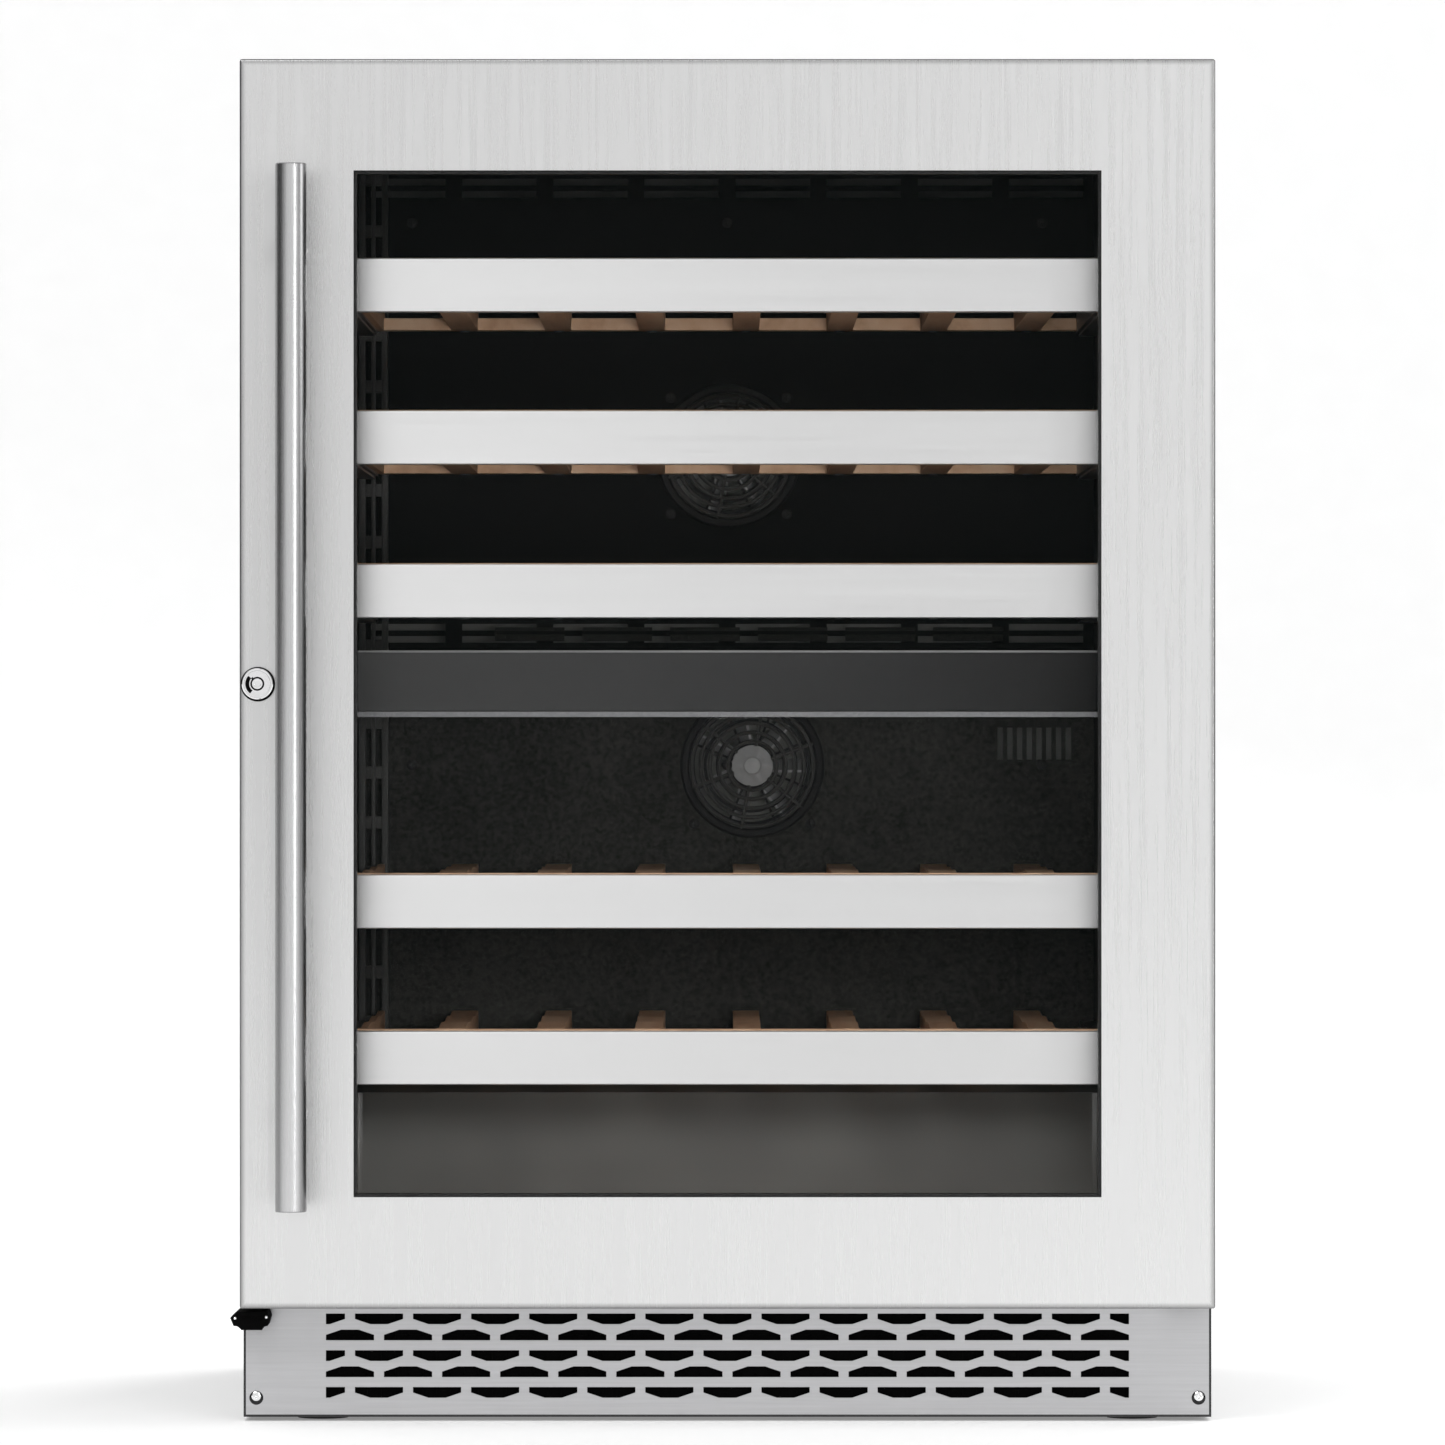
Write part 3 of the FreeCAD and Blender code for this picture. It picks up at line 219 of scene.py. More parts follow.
def moulded_plastic(name, colour, rough=0.5, grain=1600, depth=0.2, sheen=0.0, shine=0.5, speckle=0.0):
    """Moulded plastic with a fine spark-eroded grain."""
    made = Shader(name, Metallic=0.0, IOR=1.5, Specular_IOR_Level=shine)
    fine = made.noise((grain,) * 3, detail=3.0)
    wide = made.noise((9, 9, 9), detail=2.0)
    tone = wide
    if speckle:
        dots = made.noise((420, 420, 420), detail=2.0)
        mixed = made.node("ShaderNodeMix", data_type="FLOAT")
        mixed.inputs["Factor"].default_value = speckle
        made.link(wide, mixed.inputs["A"])
        made.link(dots, mixed.inputs["B"])
        tone = mixed.outputs["Result"]
    made.colour(made.ramp(tone, [(0.3, shade(colour, 0.85 - speckle)), (0.7, shade(colour, 1.15 + speckle))]))
    made.roughness(made.spread(fine, rough - 0.06, rough + 0.1))
    made.bump(fine, depth, 0.0001)
    if sheen:
        made.bsdf.inputs["Coat Weight"].default_value = sheen
        made.bsdf.inputs["Coat Roughness"].default_value = 0.25
    return made.material


def beech(name):
    """Oiled beech, its grain along Y, with short dark flecks."""
    made = Shader(name)
    figure = made.noise((60, 5, 60), detail=6.0)
    flecks = made.noise((900, 70, 900), detail=2.0)
    made.colour(made.ramp(figure, [(0.28, (0.50, 0.30, 0.18)), (0.48, (0.68, 0.44, 0.28)),
                                   (0.72, (0.78, 0.56, 0.38))]))
    made.roughness(made.spread(flecks, 0.42, 0.62))
    made.bump(flecks, 0.3, 0.0002)
    made.bump(figure, 0.2, 0.0002)
    return made.material


def clear_glass(name):
    """Clear pane: hardly there face on, glossier at a glancing angle."""
    made = Shader(name, Roughness=0.03, IOR=1.5)
    made.bsdf.inputs["Base Color"].default_value = (0.010, 0.014, 0.013, 1)
    smears = made.noise((7, 7, 7), detail=3.0)
    made.roughness(made.spread(smears, 0.015, 0.05))
    edge = made.node("ShaderNodeLayerWeight", Blend=0.25)
    made.link(made.spread(edge.outputs["Facing"], 0.02, 0.65, 0.1, 1.0), made.bsdf.inputs["Alpha"])
    made.material.blend_method = "BLEND"
    return made.material


def painted_falloff_panel(name, left, right):
    """Satin control panel whose colour is painted darker from its left end to its right: painted shade for
    light falling off across it.
    """
    made = Shader(name, IOR=1.5, Specular_IOR_Level=0.16)
    low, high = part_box("control_panel")
    source = made.node("ShaderNodeTexCoord")
    axes = made.node("ShaderNodeSeparateXYZ")
    made.link(source.outputs["Object"], axes.inputs[0])
    along = made.spread(axes.outputs["X"], 0.0, 1.0, low.x, high.x)
    middle = (left + right) / 2
    # Painted shade: the base colour falls from the left value to the right value along the panel.
    made.colour(made.ramp(along, [(0.0, (left,) * 3), (0.55, (middle,) * 3), (1.0, (right,) * 3)]))
    fine = made.noise((2400, 2400, 2400), detail=2.0)
    made.roughness(made.spread(fine, 0.34, 0.46))
    made.bump(fine, 0.06, 0.0001)
    return made.material


def frosted(name, colour, glow):
    """Milky diffuser with a faint glow of its own."""
    made = Shader(name, Roughness=0.5, IOR=1.45)
    grain = made.noise((500, 120, 500), detail=2.0)
    made.colour(made.ramp(grain, [(0.3, shade(colour, 0.75)), (0.7, colour)]))
    made.bump(grain, 0.3, 0.0003)
    made.bsdf.inputs["Emission Color"].default_value = (*colour, 1)
    made.bsdf.inputs["Emission Strength"].default_value = glow
    return made.material


def foam_skin(name):
    """Rigid foam with an open, pitted skin."""
    made = Shader(name, Roughness=0.85)
    cells_map = made.noise((260, 260, 260), detail=5.0)
    made.colour(made.ramp(cells_map, [(0.3, (0.55, 0.46, 0.26)), (0.7, (0.78, 0.69, 0.46))]))
    made.bump(cells_map, 0.6, 0.0008)
    return made.material


STEEL = (0.715, 0.715, 0.715)
MATERIALS = {
    # The door front carries painted shade along its edges.
    "brushed_steel": brushed_metal("door_steel", STEEL, (1700, 1700, 30), 0.28, 0.05, 0.007,
                                   painted_edge_shade=("door_frame", 4.0 * MM)),
    # The handle and its collars carry painted shade on their sides and backs.
    "handle_steel": brushed_metal("handle_steel", (0.60, 0.60, 0.605), (1400, 1400, 14), 0.25, 0.15, 0.02,
                                  shaded_back=True),
    "satin_steel": brushed_metal("shelf_steel", (0.87, 0.87, 0.87), (40, 2600, 2600), 0.34, 0.008, 0.002,
                                 "X"),
    "kick_steel": brushed_metal("kick_steel", (0.52, 0.52, 0.53), (12, 560, 560), 0.33, 0.35, 0.05, "X"),
    "zinc_steel": brushed_metal("zinc_sheet", (0.42, 0.43, 0.45), (40, 60, 40), 0.38, 0.1, 0.12),
    "black_steel": coated_metal("black_powder_coat", (0.016, 0.016, 0.017)),
    "foam": foam_skin("rigid_foam"),
    "dark_plastic": moulded_plastic("black_plastic", (0.012, 0.012, 0.013)),
    "grey_plastic": moulded_plastic("liner_plastic", (0.012, 0.012, 0.0115), 0.45, 700, 0.3, shine=0.25),
    "upper_wall": moulded_plastic("upper_wall_plastic", (0.004, 0.004, 0.004), 0.5, 700, 0.3, shine=0.12),
    "lower_wall": moulded_plastic("lower_wall_plastic", (0.025, 0.025, 0.0225), 0.5, 700, 0.3, shine=0.2,
                                  speckle=0.6),
    "bay_wall": moulded_plastic("bay_wall_plastic", (0.20, 0.199, 0.188), 0.4, 700, 0.15, shine=0.35),
    "bay_gloss": moulded_plastic("bay_gloss_plastic", (0.20, 0.199, 0.188), 0.16, 700, 0.05, shine=0.8),
    "guard_plastic": moulded_plastic("guard_plastic", (0.05, 0.05, 0.048), 0.4, 900, 0.15),
    # Lighter grey plastic, used as a painted highlight along the control panel's top edge.
    "highlight_plastic": moulded_plastic("highlight_plastic", (0.16, 0.16, 0.16), 0.35, 900, 0.1),
    # Near-black plastic: the stop block's own colour, and painted shade where it fills the lock's recesses,
    # backs the kick plate's slots and makes the lock collar's off-centre band.
    "black_and_shade": moulded_plastic("black_and_shade_plastic", (0.0015, 0.0015, 0.0015), 0.8, 900, 0.2, shine=0.05),
    "pale_plastic": moulded_plastic("pale_plastic", (0.42, 0.42, 0.34), 0.4, 900, 0.1),
    "panel_gloss": painted_falloff_panel("panel_plastic", 0.038, 0.005),
    "light_diffuser": frosted("diffuser", (0.16, 0.16, 0.165), 0.01),
    "beech": beech("oiled_beech"),
    "gasket": moulded_plastic("seal_vinyl", (0.014, 0.014, 0.014), 0.55, 500, 0.15),
    "clear_glass": clear_glass("pane"),
    "spacer": coated_metal("black_spacer", (0.003, 0.003, 0.003), 0.35, 1500, 0.05),
    "chrome": brushed_metal("polished_chrome", (0.90, 0.90, 0.905), (90, 90, 90), 0.10, 0.04, 0.02),
    # A darkened copy of chrome, used as painted shade on the kick plate screws.
    "shaded_chrome": brushed_metal("shaded_chrome", (0.035, 0.035, 0.036), (90, 90, 90), 0.15, 0.04, 0.02),
    "copper": brushed_metal("copper_tube", (0.70, 0.34, 0.20), (60, 60, 60), 0.3, 0.1, 0.15),
    "aluminium_fins": brushed_metal("fin_aluminium", (0.16, 0.16, 0.17), (200, 200, 200), 0.45, 0.1, 0.08),
    "rubber": moulded_plastic("black_rubber", (0.018, 0.018, 0.018), 0.7, 900, 0.35),
    "nylon": moulded_plastic("natural_nylon", (0.62, 0.62, 0.57), 0.45, 900, 0.12),
    "silver_plastic": moulded_plastic("silver_plastic", (0.30, 0.30, 0.30), 0.35, 1200, 0.08, 0.2),
}
SLOT_OF = {s["node"]: s["material_slot"] for s in frame["record"]["subparts"]}
LOOKS = {"handle_bar": "handle_steel", "handle_posts": "handle_steel",
         "liner_shell": "bay_wall", "evaporator_cover_upper": "upper_wall",
         "evaporator_cover_lower": "lower_wall"}

for name, thing in NODES.items():
    thing.data.materials.clear()
    thing.data.materials.append(MATERIALS[LOOKS.get(name, SLOT_OF[name])])


# ------------------------------------------------------------------ mesh helpers


def new_object(name, data):
    """Link a new object that holds this mesh, light or camera."""
    made = bpy.data.objects.new(name, data)
    bpy.context.scene.collection.objects.link(made)
    return made


def from_bmesh(name, bm, smooth_angle=35):
    """An object out of a bmesh, its soft edges shaded smooth."""
    bmesh.ops.remove_doubles(bm, verts=bm.verts, dist=1e-7)
    bmesh.ops.recalc_face_normals(bm, faces=bm.faces)
    limit = math.radians(smooth_angle)
    for edge in bm.edges:
        edge.smooth = len(edge.link_faces) == 2 and edge.calc_face_angle(0) < limit
    for face in bm.faces:
        face.smooth = True
    data = bpy.data.meshes.new(name)
    bm.to_mesh(data)
    bm.free()
    return new_object(name, data)


def add_block(bm, low, high, bevel=0.0, segments=2):
    """A box with rounded edges, added to a bmesh."""
    cube = bmesh.ops.create_cube(bm, size=1.0)
    low, high = Vector(low), Vector(high)
    size, middle = high - low, (high + low) / 2
    for vert in cube["verts"]:
        vert.co = Vector(vert.co[i] * size[i] + middle[i] for i in range(3))
    if bevel:
        edges = list({edge for vert in cube["verts"] for edge in vert.link_edges})
        bmesh.ops.bevel(bm, geom=edges, offset=bevel, segments=segments, affect="EDGES", profile=0.7)


AXES = {
    "-y": (Vector((1, 0, 0)), Vector((0, 0, 1)), Vector((0, -1, 0))),
    "+y": (Vector((-1, 0, 0)), Vector((0, 0, 1)), Vector((0, 1, 0))),
    "+z": (Vector((1, 0, 0)), Vector((0, 1, 0)), Vector((0, 0, 1))),
    "-z": (Vector((1, 0, 0)), Vector((0, -1, 0)), Vector((0, 0, -1))),
    "+x": (Vector((0, 1, 0)), Vector((0, 0, 1)), Vector((1, 0, 0))),
    "-x": (Vector((0, -1, 0)), Vector((0, 0, 1)), Vector((-1, 0, 0))),
}


def add_lathe(bm, centre, facing, profile, steps=48):
    """Turn a profile of (radius, height) about an axis through the centre."""
    across, up, out = AXES[facing]
    centre = Vector(centre)
    rings = []
    for radius, height in profile:
        if radius < 1e-7:
            rings.append([bm.verts.new(centre + out * height)])
            continue
        ring = []
        for i in range(steps):
            angle = 2 * math.pi * i / steps
            ring.append(bm.verts.new(centre + out * height
                                     + (across * math.cos(angle) + up * math.sin(angle)) * radius))
        rings.append(ring)
    for one, two in zip(rings, rings[1:]):
        for i in range(steps):
            j = (i + 1) % steps
            corners = [one[i % len(one)], one[j % len(one)], two[j % len(two)], two[i % len(two)]]
            corners = list(dict.fromkeys(corners))
            if len(corners) > 2:
                bm.faces.new(corners)


def add_relief(bm, centre, facing, radius, rings, steps, height_at):
    """A round face whose height depends on radius and angle, with a skirt behind it."""
    across, up, out = AXES[facing]
    centre = Vector(centre)

    def place(r, angle, height):
        return centre + out * height + (across * math.cos(angle) + up * math.sin(angle)) * r

    middle = bm.verts.new(place(0, 0, height_at(0, 0)))
    loops = []
    for k in range(1, rings + 1):
        r = radius * k / rings
        loops.append([bm.verts.new(place(r, 2 * math.pi * i / steps, height_at(r, 2 * math.pi * i / steps)))
                      for i in range(steps)])
    loops.append([bm.verts.new(place(radius, 2 * math.pi * i / steps, 0)) for i in range(steps)])
    for i in range(steps):
        j = (i + 1) % steps
        bm.faces.new((middle, loops[0][i], loops[0][j]))
        for inner, outer in zip(loops, loops[1:]):
            bm.faces.new((inner[i], outer[i], outer[j], inner[j]))
    bm.faces.new(list(reversed(loops[-1])))


def add_run(bm, profile, start, end, axis):
    """A closed profile run straight along an axis; the profile uses the other two axes in order."""
    def spot(pair, along):
        values = list(pair)
        values.insert(axis, along)
        return values

    first = [bm.verts.new(spot(pair, start)) for pair in profile]
    last = [bm.verts.new(spot(pair, end)) for pair in profile]
    count = len(profile)
    for i in range(count):
        j = (i + 1) % count
        bm.faces.new((first[i], first[j], last[j], last[i]))
    bm.faces.new(first)
    bm.faces.new(list(reversed(last)))


def finish_piece(piece, body, slot, look=None, replaces=()):
    """Give a piece the material of its look, or else of its slot, and its body; hide the parts it replaces.
    """
    piece.data.materials.append(MATERIALS[look or slot])
    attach(piece, body)
    if replaces:
        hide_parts(*replaces)
    return piece


# ------------------------------------------------------------------ shelves


def slat_centres(count, pitch, shift):
    """Middles of a row of slats, the row shifted sideways."""
    return [shift + (i - (count - 1) / 2) * pitch for i in range(count)]


def add_slats(bm, centres, half, front, back, low, height, width):
    """Rounded slats from front to back, with shallow cradles in their top edges."""
    for centre in centres:
        outline = [(front, low), (back, low)]
        steps, cradles, hollow = 40, 3, 1.6 * MM
        for k in range(steps + 1):
            y = back + (front - back) * k / steps
            dip = 0.5 - 0.5 * math.cos(2 * math.pi * k / steps * cradles)
            outline.append((y, low + height - hollow * dip))
        side = bmesh.new()
        add_run(side, outline, max(centre - width / 2, -half), min(centre + width / 2, half), 0)
        long_edges = [e for e in side.edges
                      if abs(e.verts[0].co.x - e.verts[1].co.x) < 1e-6
                      and max(v.co.z for v in e.verts) > low + height * 0.6]
        bmesh.ops.bevel(side, geom=long_edges, offset=1.2 * MM, segments=2, affect="EDGES",
                         profile=0.6)
        scratch = bpy.data.meshes.new("slat")
        side.to_mesh(scratch)
        side.free()
        bm.from_mesh(scratch)
        bpy.data.meshes.remove(scratch)


def rack_piece(name, node, body, hung):
    """Beech rack. A shelf's slats hang flush with its rails; the floor's slats lie on theirs."""
    low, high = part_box(node)
    bm = bmesh.new()
    depth, face = 20 * MM, 15 * MM
    if hung:
        centres = slat_centres(8, 61.4 * MM, -18.4 * MM)
        base = low.z + 2.2 * MM
        starts = [low.y + face, high.y - depth]
        rail_top, slat_low, front = base + 8 * MM, base, low.y + face
        add_block(bm, (low.x, low.y + 0.2 * MM, low.z), (high.x, low.y + face, low.z + 31.9 * MM), 1.2 * MM)
    else:
        centres = slat_centres(8, 58 * MM, 0)
        base = low.z
        starts = [low.y + 1 * MM, high.y - depth]
        rail_top, slat_low, front = low.z + 10 * MM, low.z + 9.6 * MM, low.y
    for start in starts:
        add_block(bm, (low.x, start, base), (high.x, start + depth, rail_top), 1 * MM)
    add_slats(bm, centres, high.x, front, high.y, slat_low, high.z - slat_low, 17 * MM)
    finish_piece(from_bmesh(name, bm), body, "beech", replaces=(node,))
    screws = bmesh.new()
    for start in starts:
        for x in centres[1:]:
            add_screw(screws, (x, start + depth / 2, base), "-z", 3.2 * MM, 0.8 * MM)
    finish_piece(from_bmesh(name + "_screws", screws), body, "zinc_steel")


def add_screw(bm, centre, facing, radius, height):
    """Pan head with a cross recess."""
    arm = radius * 0.13

    def surface(r, angle):
        dome = height * math.sqrt(max(0.0, 1 - 0.75 * (r / radius) ** 2))
        x, y = abs(r * math.cos(angle)), abs(r * math.sin(angle))
        if r < radius * 0.55 and min(x, y) < arm:
            return max(dome - height * 0.6 * (1 - r / (radius * 0.75)), height * 0.15)
        return dome

    add_relief(bm, centre, facing, radius, 14, 48, surface)


def shelf_rails(number):
    """Sliding rails with rolled lips, a ball cage and a front clip."""
    node = f"shelf_{number}_rails"
    low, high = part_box(node)
    inner = 229 * MM
    bm = bmesh.new()
    balls = bmesh.new()
    clips = bmesh.new()
    for side in (-1, 1):
        near, far = inner * side, high.x * side
        wall, lip = 1.4 * MM * side, 3.0 * MM
        profile = [(near, low.z), (far, low.z), (far, low.z + lip), (far - wall, low.z + lip),
                   (far - wall, low.z + 1.4 * MM), (near + wall, low.z + 1.4 * MM),
                   (near + wall, high.z - 1.4 * MM), (far - wall, high.z - 1.4 * MM),
                   (far - wall, high.z - lip), (far, high.z - lip), (far, high.z), (near, high.z)]
        add_run(bm, [(x, z) for x, z in profile], low.y, high.y, 1)
        middle = (near + far) / 2 + 1.5 * MM * side
        for z in (low.z + 4.6 * MM, high.z - 4.6 * MM):
            for k in range(14):
                y = low.y + 30 * MM + k * 24 * MM
                bmesh.ops.create_uvsphere(balls, u_segments=12, v_segments=8, radius=2.2 * MM,
                                          matrix=Matrix.Translation((middle, y, z)))
        edges = sorted((near + 0.3 * MM * side, far - 0.3 * MM * side))
        add_block(clips, (edges[0], low.y - 1 * MM, low.z + 2 * MM),
                  (edges[1], low.y + 16 * MM, high.z - 2 * MM), 1 * MM)
    finish_piece(from_bmesh(f"shelf_{number}_slide", bm), f"shelf_{number}", "zinc_steel", replaces=(node,))
    finish_piece(from_bmesh(f"shelf_{number}_balls", balls), f"shelf_{number}", "chrome")
    finish_piece(from_bmesh(f"shelf_{number}_clips", clips), f"shelf_{number}", "dark_plastic")


for number in SHELVES:
    rack_piece(f"shelf_{number}_wood", f"shelf_{number}_rack", f"shelf_{number}", True)
    shelf_rails(number)
rack_piece("floor_slats", "floor_rack", "cabinet", False)


# ------------------------------------------------------------------ door


def ring_sweep(name, profile, left, right, bottom, top, corner):
    """Sweep a profile of (outwards, depth) round a rectangle with rounded corners."""
    path = []
    quarter = 8
    for cx, cz, start in ((right - corner, top - corner, 0), (left + corner, top - corner, 90),
                          (left + corner, bottom + corner, 180), (right - corner, bottom + corner, 270)):
        for k in range(quarter + 1):
            angle = math.radians(start + 90 * k / quarter)
            path.append((cx, cz, math.cos(angle), math.sin(angle)))
    bm = bmesh.new()
    loops = []
    for cx, cz, ux, uz in path:
        loops.append([bm.verts.new((cx + ux * (corner + out), y, cz + uz * (corner + out)))
                      for out, y in profile])
    for i, loop in enumerate(loops):
        after = loops[(i + 1) % len(loops)]
        for j in range(len(profile)):
            k = (j + 1) % len(profile)
            bm.faces.new((loop[j], loop[k], after[k], after[j]))
    return from_bmesh(name, bm, 50)


def door_seal():
    """Bellows seal: two soft folds behind a magnet bulb."""
    low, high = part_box("door_gasket")
    width = 14 * MM
    depth = high.y - low.y
    points = []
    steps = 28
    for k in range(steps + 1):
        t = k / steps
        bulge = 0.5 + 0.5 * math.cos(2 * math.pi * t * 2)
        points.append((-width * 0.04 - width * 0.14 * (1 - bulge), low.y + depth * t))
    for k in range(steps + 1):
        t = 1 - k / steps
        bulge = 0.5 + 0.5 * math.cos(2 * math.pi * t * 2)
        points.append((-width * 0.96 + width * 0.14 * (1 - bulge), low.y + depth * t))
    seal = ring_sweep("door_seal", points, low.x, high.x, low.z, high.z, 9 * MM)
    finish_piece(seal, "door", "gasket", replaces=("door_gasket",))


def lock_faces():
    """Chrome disc on a black collar set off centre (painted shadow), and the plug's face with its pin, ring
    groove and crescent slot, filled near black (painted shade).
    """
    low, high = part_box("lock_cylinder")
    x, z = (low.x + high.x) / 2, (low.z + high.z) / 2
    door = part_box("door_frame")[0].y
    hole, bore = 8.05 * MM, 5.1 * MM
    collar = bmesh.new()
    # The collar sits a little right of and below the middle, so its black band shows wider at the lower
    # right: painted shadow.
    add_lathe(collar, (x + 0.15 * MM, door, z - 0.25 * MM), "-y",
              [(hole, 0), (hole, 2.9 * MM), (9.9 * MM, 2.9 * MM), (10.45 * MM, 2.4 * MM), (10.55 * MM, 0),
               (hole, 0)], 96)
    finish_piece(from_bmesh("lock_collar", collar), "door", "spacer", "black_and_shade", replaces=("lock_cylinder",))
    disc = bmesh.new()
    add_lathe(disc, (x, door, z), "-y",
              [(hole, 2.8 * MM), (hole, 3.7 * MM), (9.1 * MM, 3.7 * MM), (9.5 * MM, 3.4 * MM),
               (9.6 * MM, 2.8 * MM), (hole, 2.8 * MM)], 96)
    finish_piece(from_bmesh("lock_disc", disc), "door", "chrome")
    barrel = bmesh.new()
    depth = high.y - door
    add_lathe(barrel, (x, door, z), "-y",
              [(bore, 0), (hole, 0), (8.0 * MM, -1 * MM), (8.0 * MM, -depth + 0.6 * MM),
               (7.4 * MM, -depth), (bore, -depth), (bore, 0)], 64)
    finish_piece(from_bmesh("lock_barrel", barrel), "door", "zinc_steel")

    def face(r, angle):
        turn = math.degrees(angle) % 360
        ring = 3.2 * MM < r < 4.3 * MM
        crescent = 4.9 * MM < r < 7.3 * MM and 138 < turn < 233
        neck = 4.2 * MM < r < 5.0 * MM and 124 < turn < 141
        if ring or crescent or neck:
            return 0.3 * MM
        if r > 7.9 * MM or r < 2.1 * MM:
            return 1.55 * MM
        return 1.7 * MM

    plug = bmesh.new()
    seat = door - 2.0 * MM
    add_relief(plug, (x, seat, z), "-y", 8.0 * MM, 60, 180, face)
    finish_piece(from_bmesh("lock_plug_face", plug, 40), "lock_plug", "chrome")
    # Near-black fill in the ring groove and the crescent key slot: painted shade in the recesses.
    grooves = bmesh.new()
    add_lathe(grooves, (x, seat, z), "-y",
              [(3.25 * MM, 0.2 * MM), (3.25 * MM, 1.4 * MM), (4.25 * MM, 1.4 * MM), (4.25 * MM, 0.2 * MM),
               (3.25 * MM, 0.2 * MM)], 72)
    for inner, outer, start, end in ((4.95, 7.25, 139, 232), (4.25, 4.95, 125, 140)):
        arc = [(x + r * MM * math.cos(math.radians(t)), z + r * MM * math.sin(math.radians(t)))
               for r, turns in ((outer, range(start, end + 1, 3)), (inner, range(end, start - 1, -3)))
               for t in turns]
        add_run(grooves, arc, door - 3.4 * MM, door - 2.2 * MM, 1)
    finish_piece(from_bmesh("lock_groove_shade_fill", grooves), "lock_plug", "dark_plastic", "black_and_shade")


def handle_collars():
    """Small stepped collars where the posts meet the door."""
    low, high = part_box("handle_posts")
    x = (low.x + high.x) / 2
    bm = bmesh.new()
    for z in (low.z + 6 * MM, high.z - 6 * MM):
        add_lathe(bm, (x, high.y, z), "-y",
                  [(6.0 * MM, 0), (8.4 * MM, 0), (8.4 * MM, 1.6 * MM), (7.9 * MM, 2.1 * MM),
                   (6.0 * MM, 2.4 * MM), (6.0 * MM, 0)], 64)
    finish_piece(from_bmesh("handle_collars", bm), "door", "brushed_steel", "handle_steel")


door_seal()
lock_faces()
handle_collars()


# ------------------------------------------------------------------ cavity


def rear_standards():
    """Ladder-shaped duct cover in the rear left corner."""
    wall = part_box("liner_side_walls")
    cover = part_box("evaporator_cover_lower")[0].y
    inner = wall[1].x - 1.5 * MM
    bm = bmesh.new()
    for node in ("evaporator_cover_upper", "evaporator_cover_lower"):
        low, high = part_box(node)
        x = (-inner + 0.2 * MM, -inner + 19 * MM)
        y = (cover - 11 * MM, cover - 0.4 * MM)
        for a, b in ((x[0], x[0] + 4 * MM), (x[0] + 8 * MM, x[0] + 10.5 * MM), (x[1] - 4 * MM, x[1])):
            add_block(bm, (a, y[0], low.z + 1 * MM), (b, y[1], high.z - 1 * MM), 0.6 * MM)
        rungs = int((high.z - low.z) / (32 * MM))
        for k in range(rungs + 1):
            z = low.z + 6 * MM + k * (high.z - low.z - 12 * MM) / rungs
            add_block(bm, (x[0] + 3 * MM, y[0] + 1 * MM, z - 4 * MM), (x[1] - 3 * MM, y[1], z + 4 * MM),
                      0.6 * MM)
    finish_piece(from_bmesh("rear_standards", bm), "cabinet", "dark_plastic", "guard_plastic")


def fan_bezels():
    """Raised rings round the fan openings, and cover screws."""
    bezels, screws = bmesh.new(), bmesh.new()
    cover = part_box("evaporator_cover_lower")[0].y
    for rotor in ("fan_rotor_upper", "fan_rotor_lower"):
        low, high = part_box(rotor)
        centre = ((low.x + high.x) / 2, cover, (low.z + high.z) / 2)
        add_lathe(bezels, centre, "-y", [(41.5 * MM, -1 * MM), (41.5 * MM, 1.6 * MM), (43 * MM, 2.6 * MM),
                                         (46 * MM, 2.2 * MM), (47.5 * MM, 0.6 * MM), (47.5 * MM, 0),
                                         (41.5 * MM, -1 * MM)], 96)
        for k in range(4):
            angle = math.radians(45 + 90 * k)
            add_screw(screws, (centre[0] + 54 * MM * math.cos(angle), cover,
                               centre[2] + 54 * MM * math.sin(angle)), "-y", 3.4 * MM, 1.6 * MM)
    for node in ("evaporator_cover_upper", "evaporator_cover_lower"):
        low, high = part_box(node)
        for x in (low.x + 34 * MM, 0, high.x - 34 * MM):
            for z in (low.z + 34 * MM, high.z - 34 * MM):
                add_screw(screws, (x, cover, z), "-y", 3.4 * MM, 1.6 * MM)
    finish_piece(from_bmesh("fan_bezels", bezels), "cabinet", "dark_plastic")
    finish_piece(from_bmesh("cover_screws", screws), "cabinet", "black_steel")


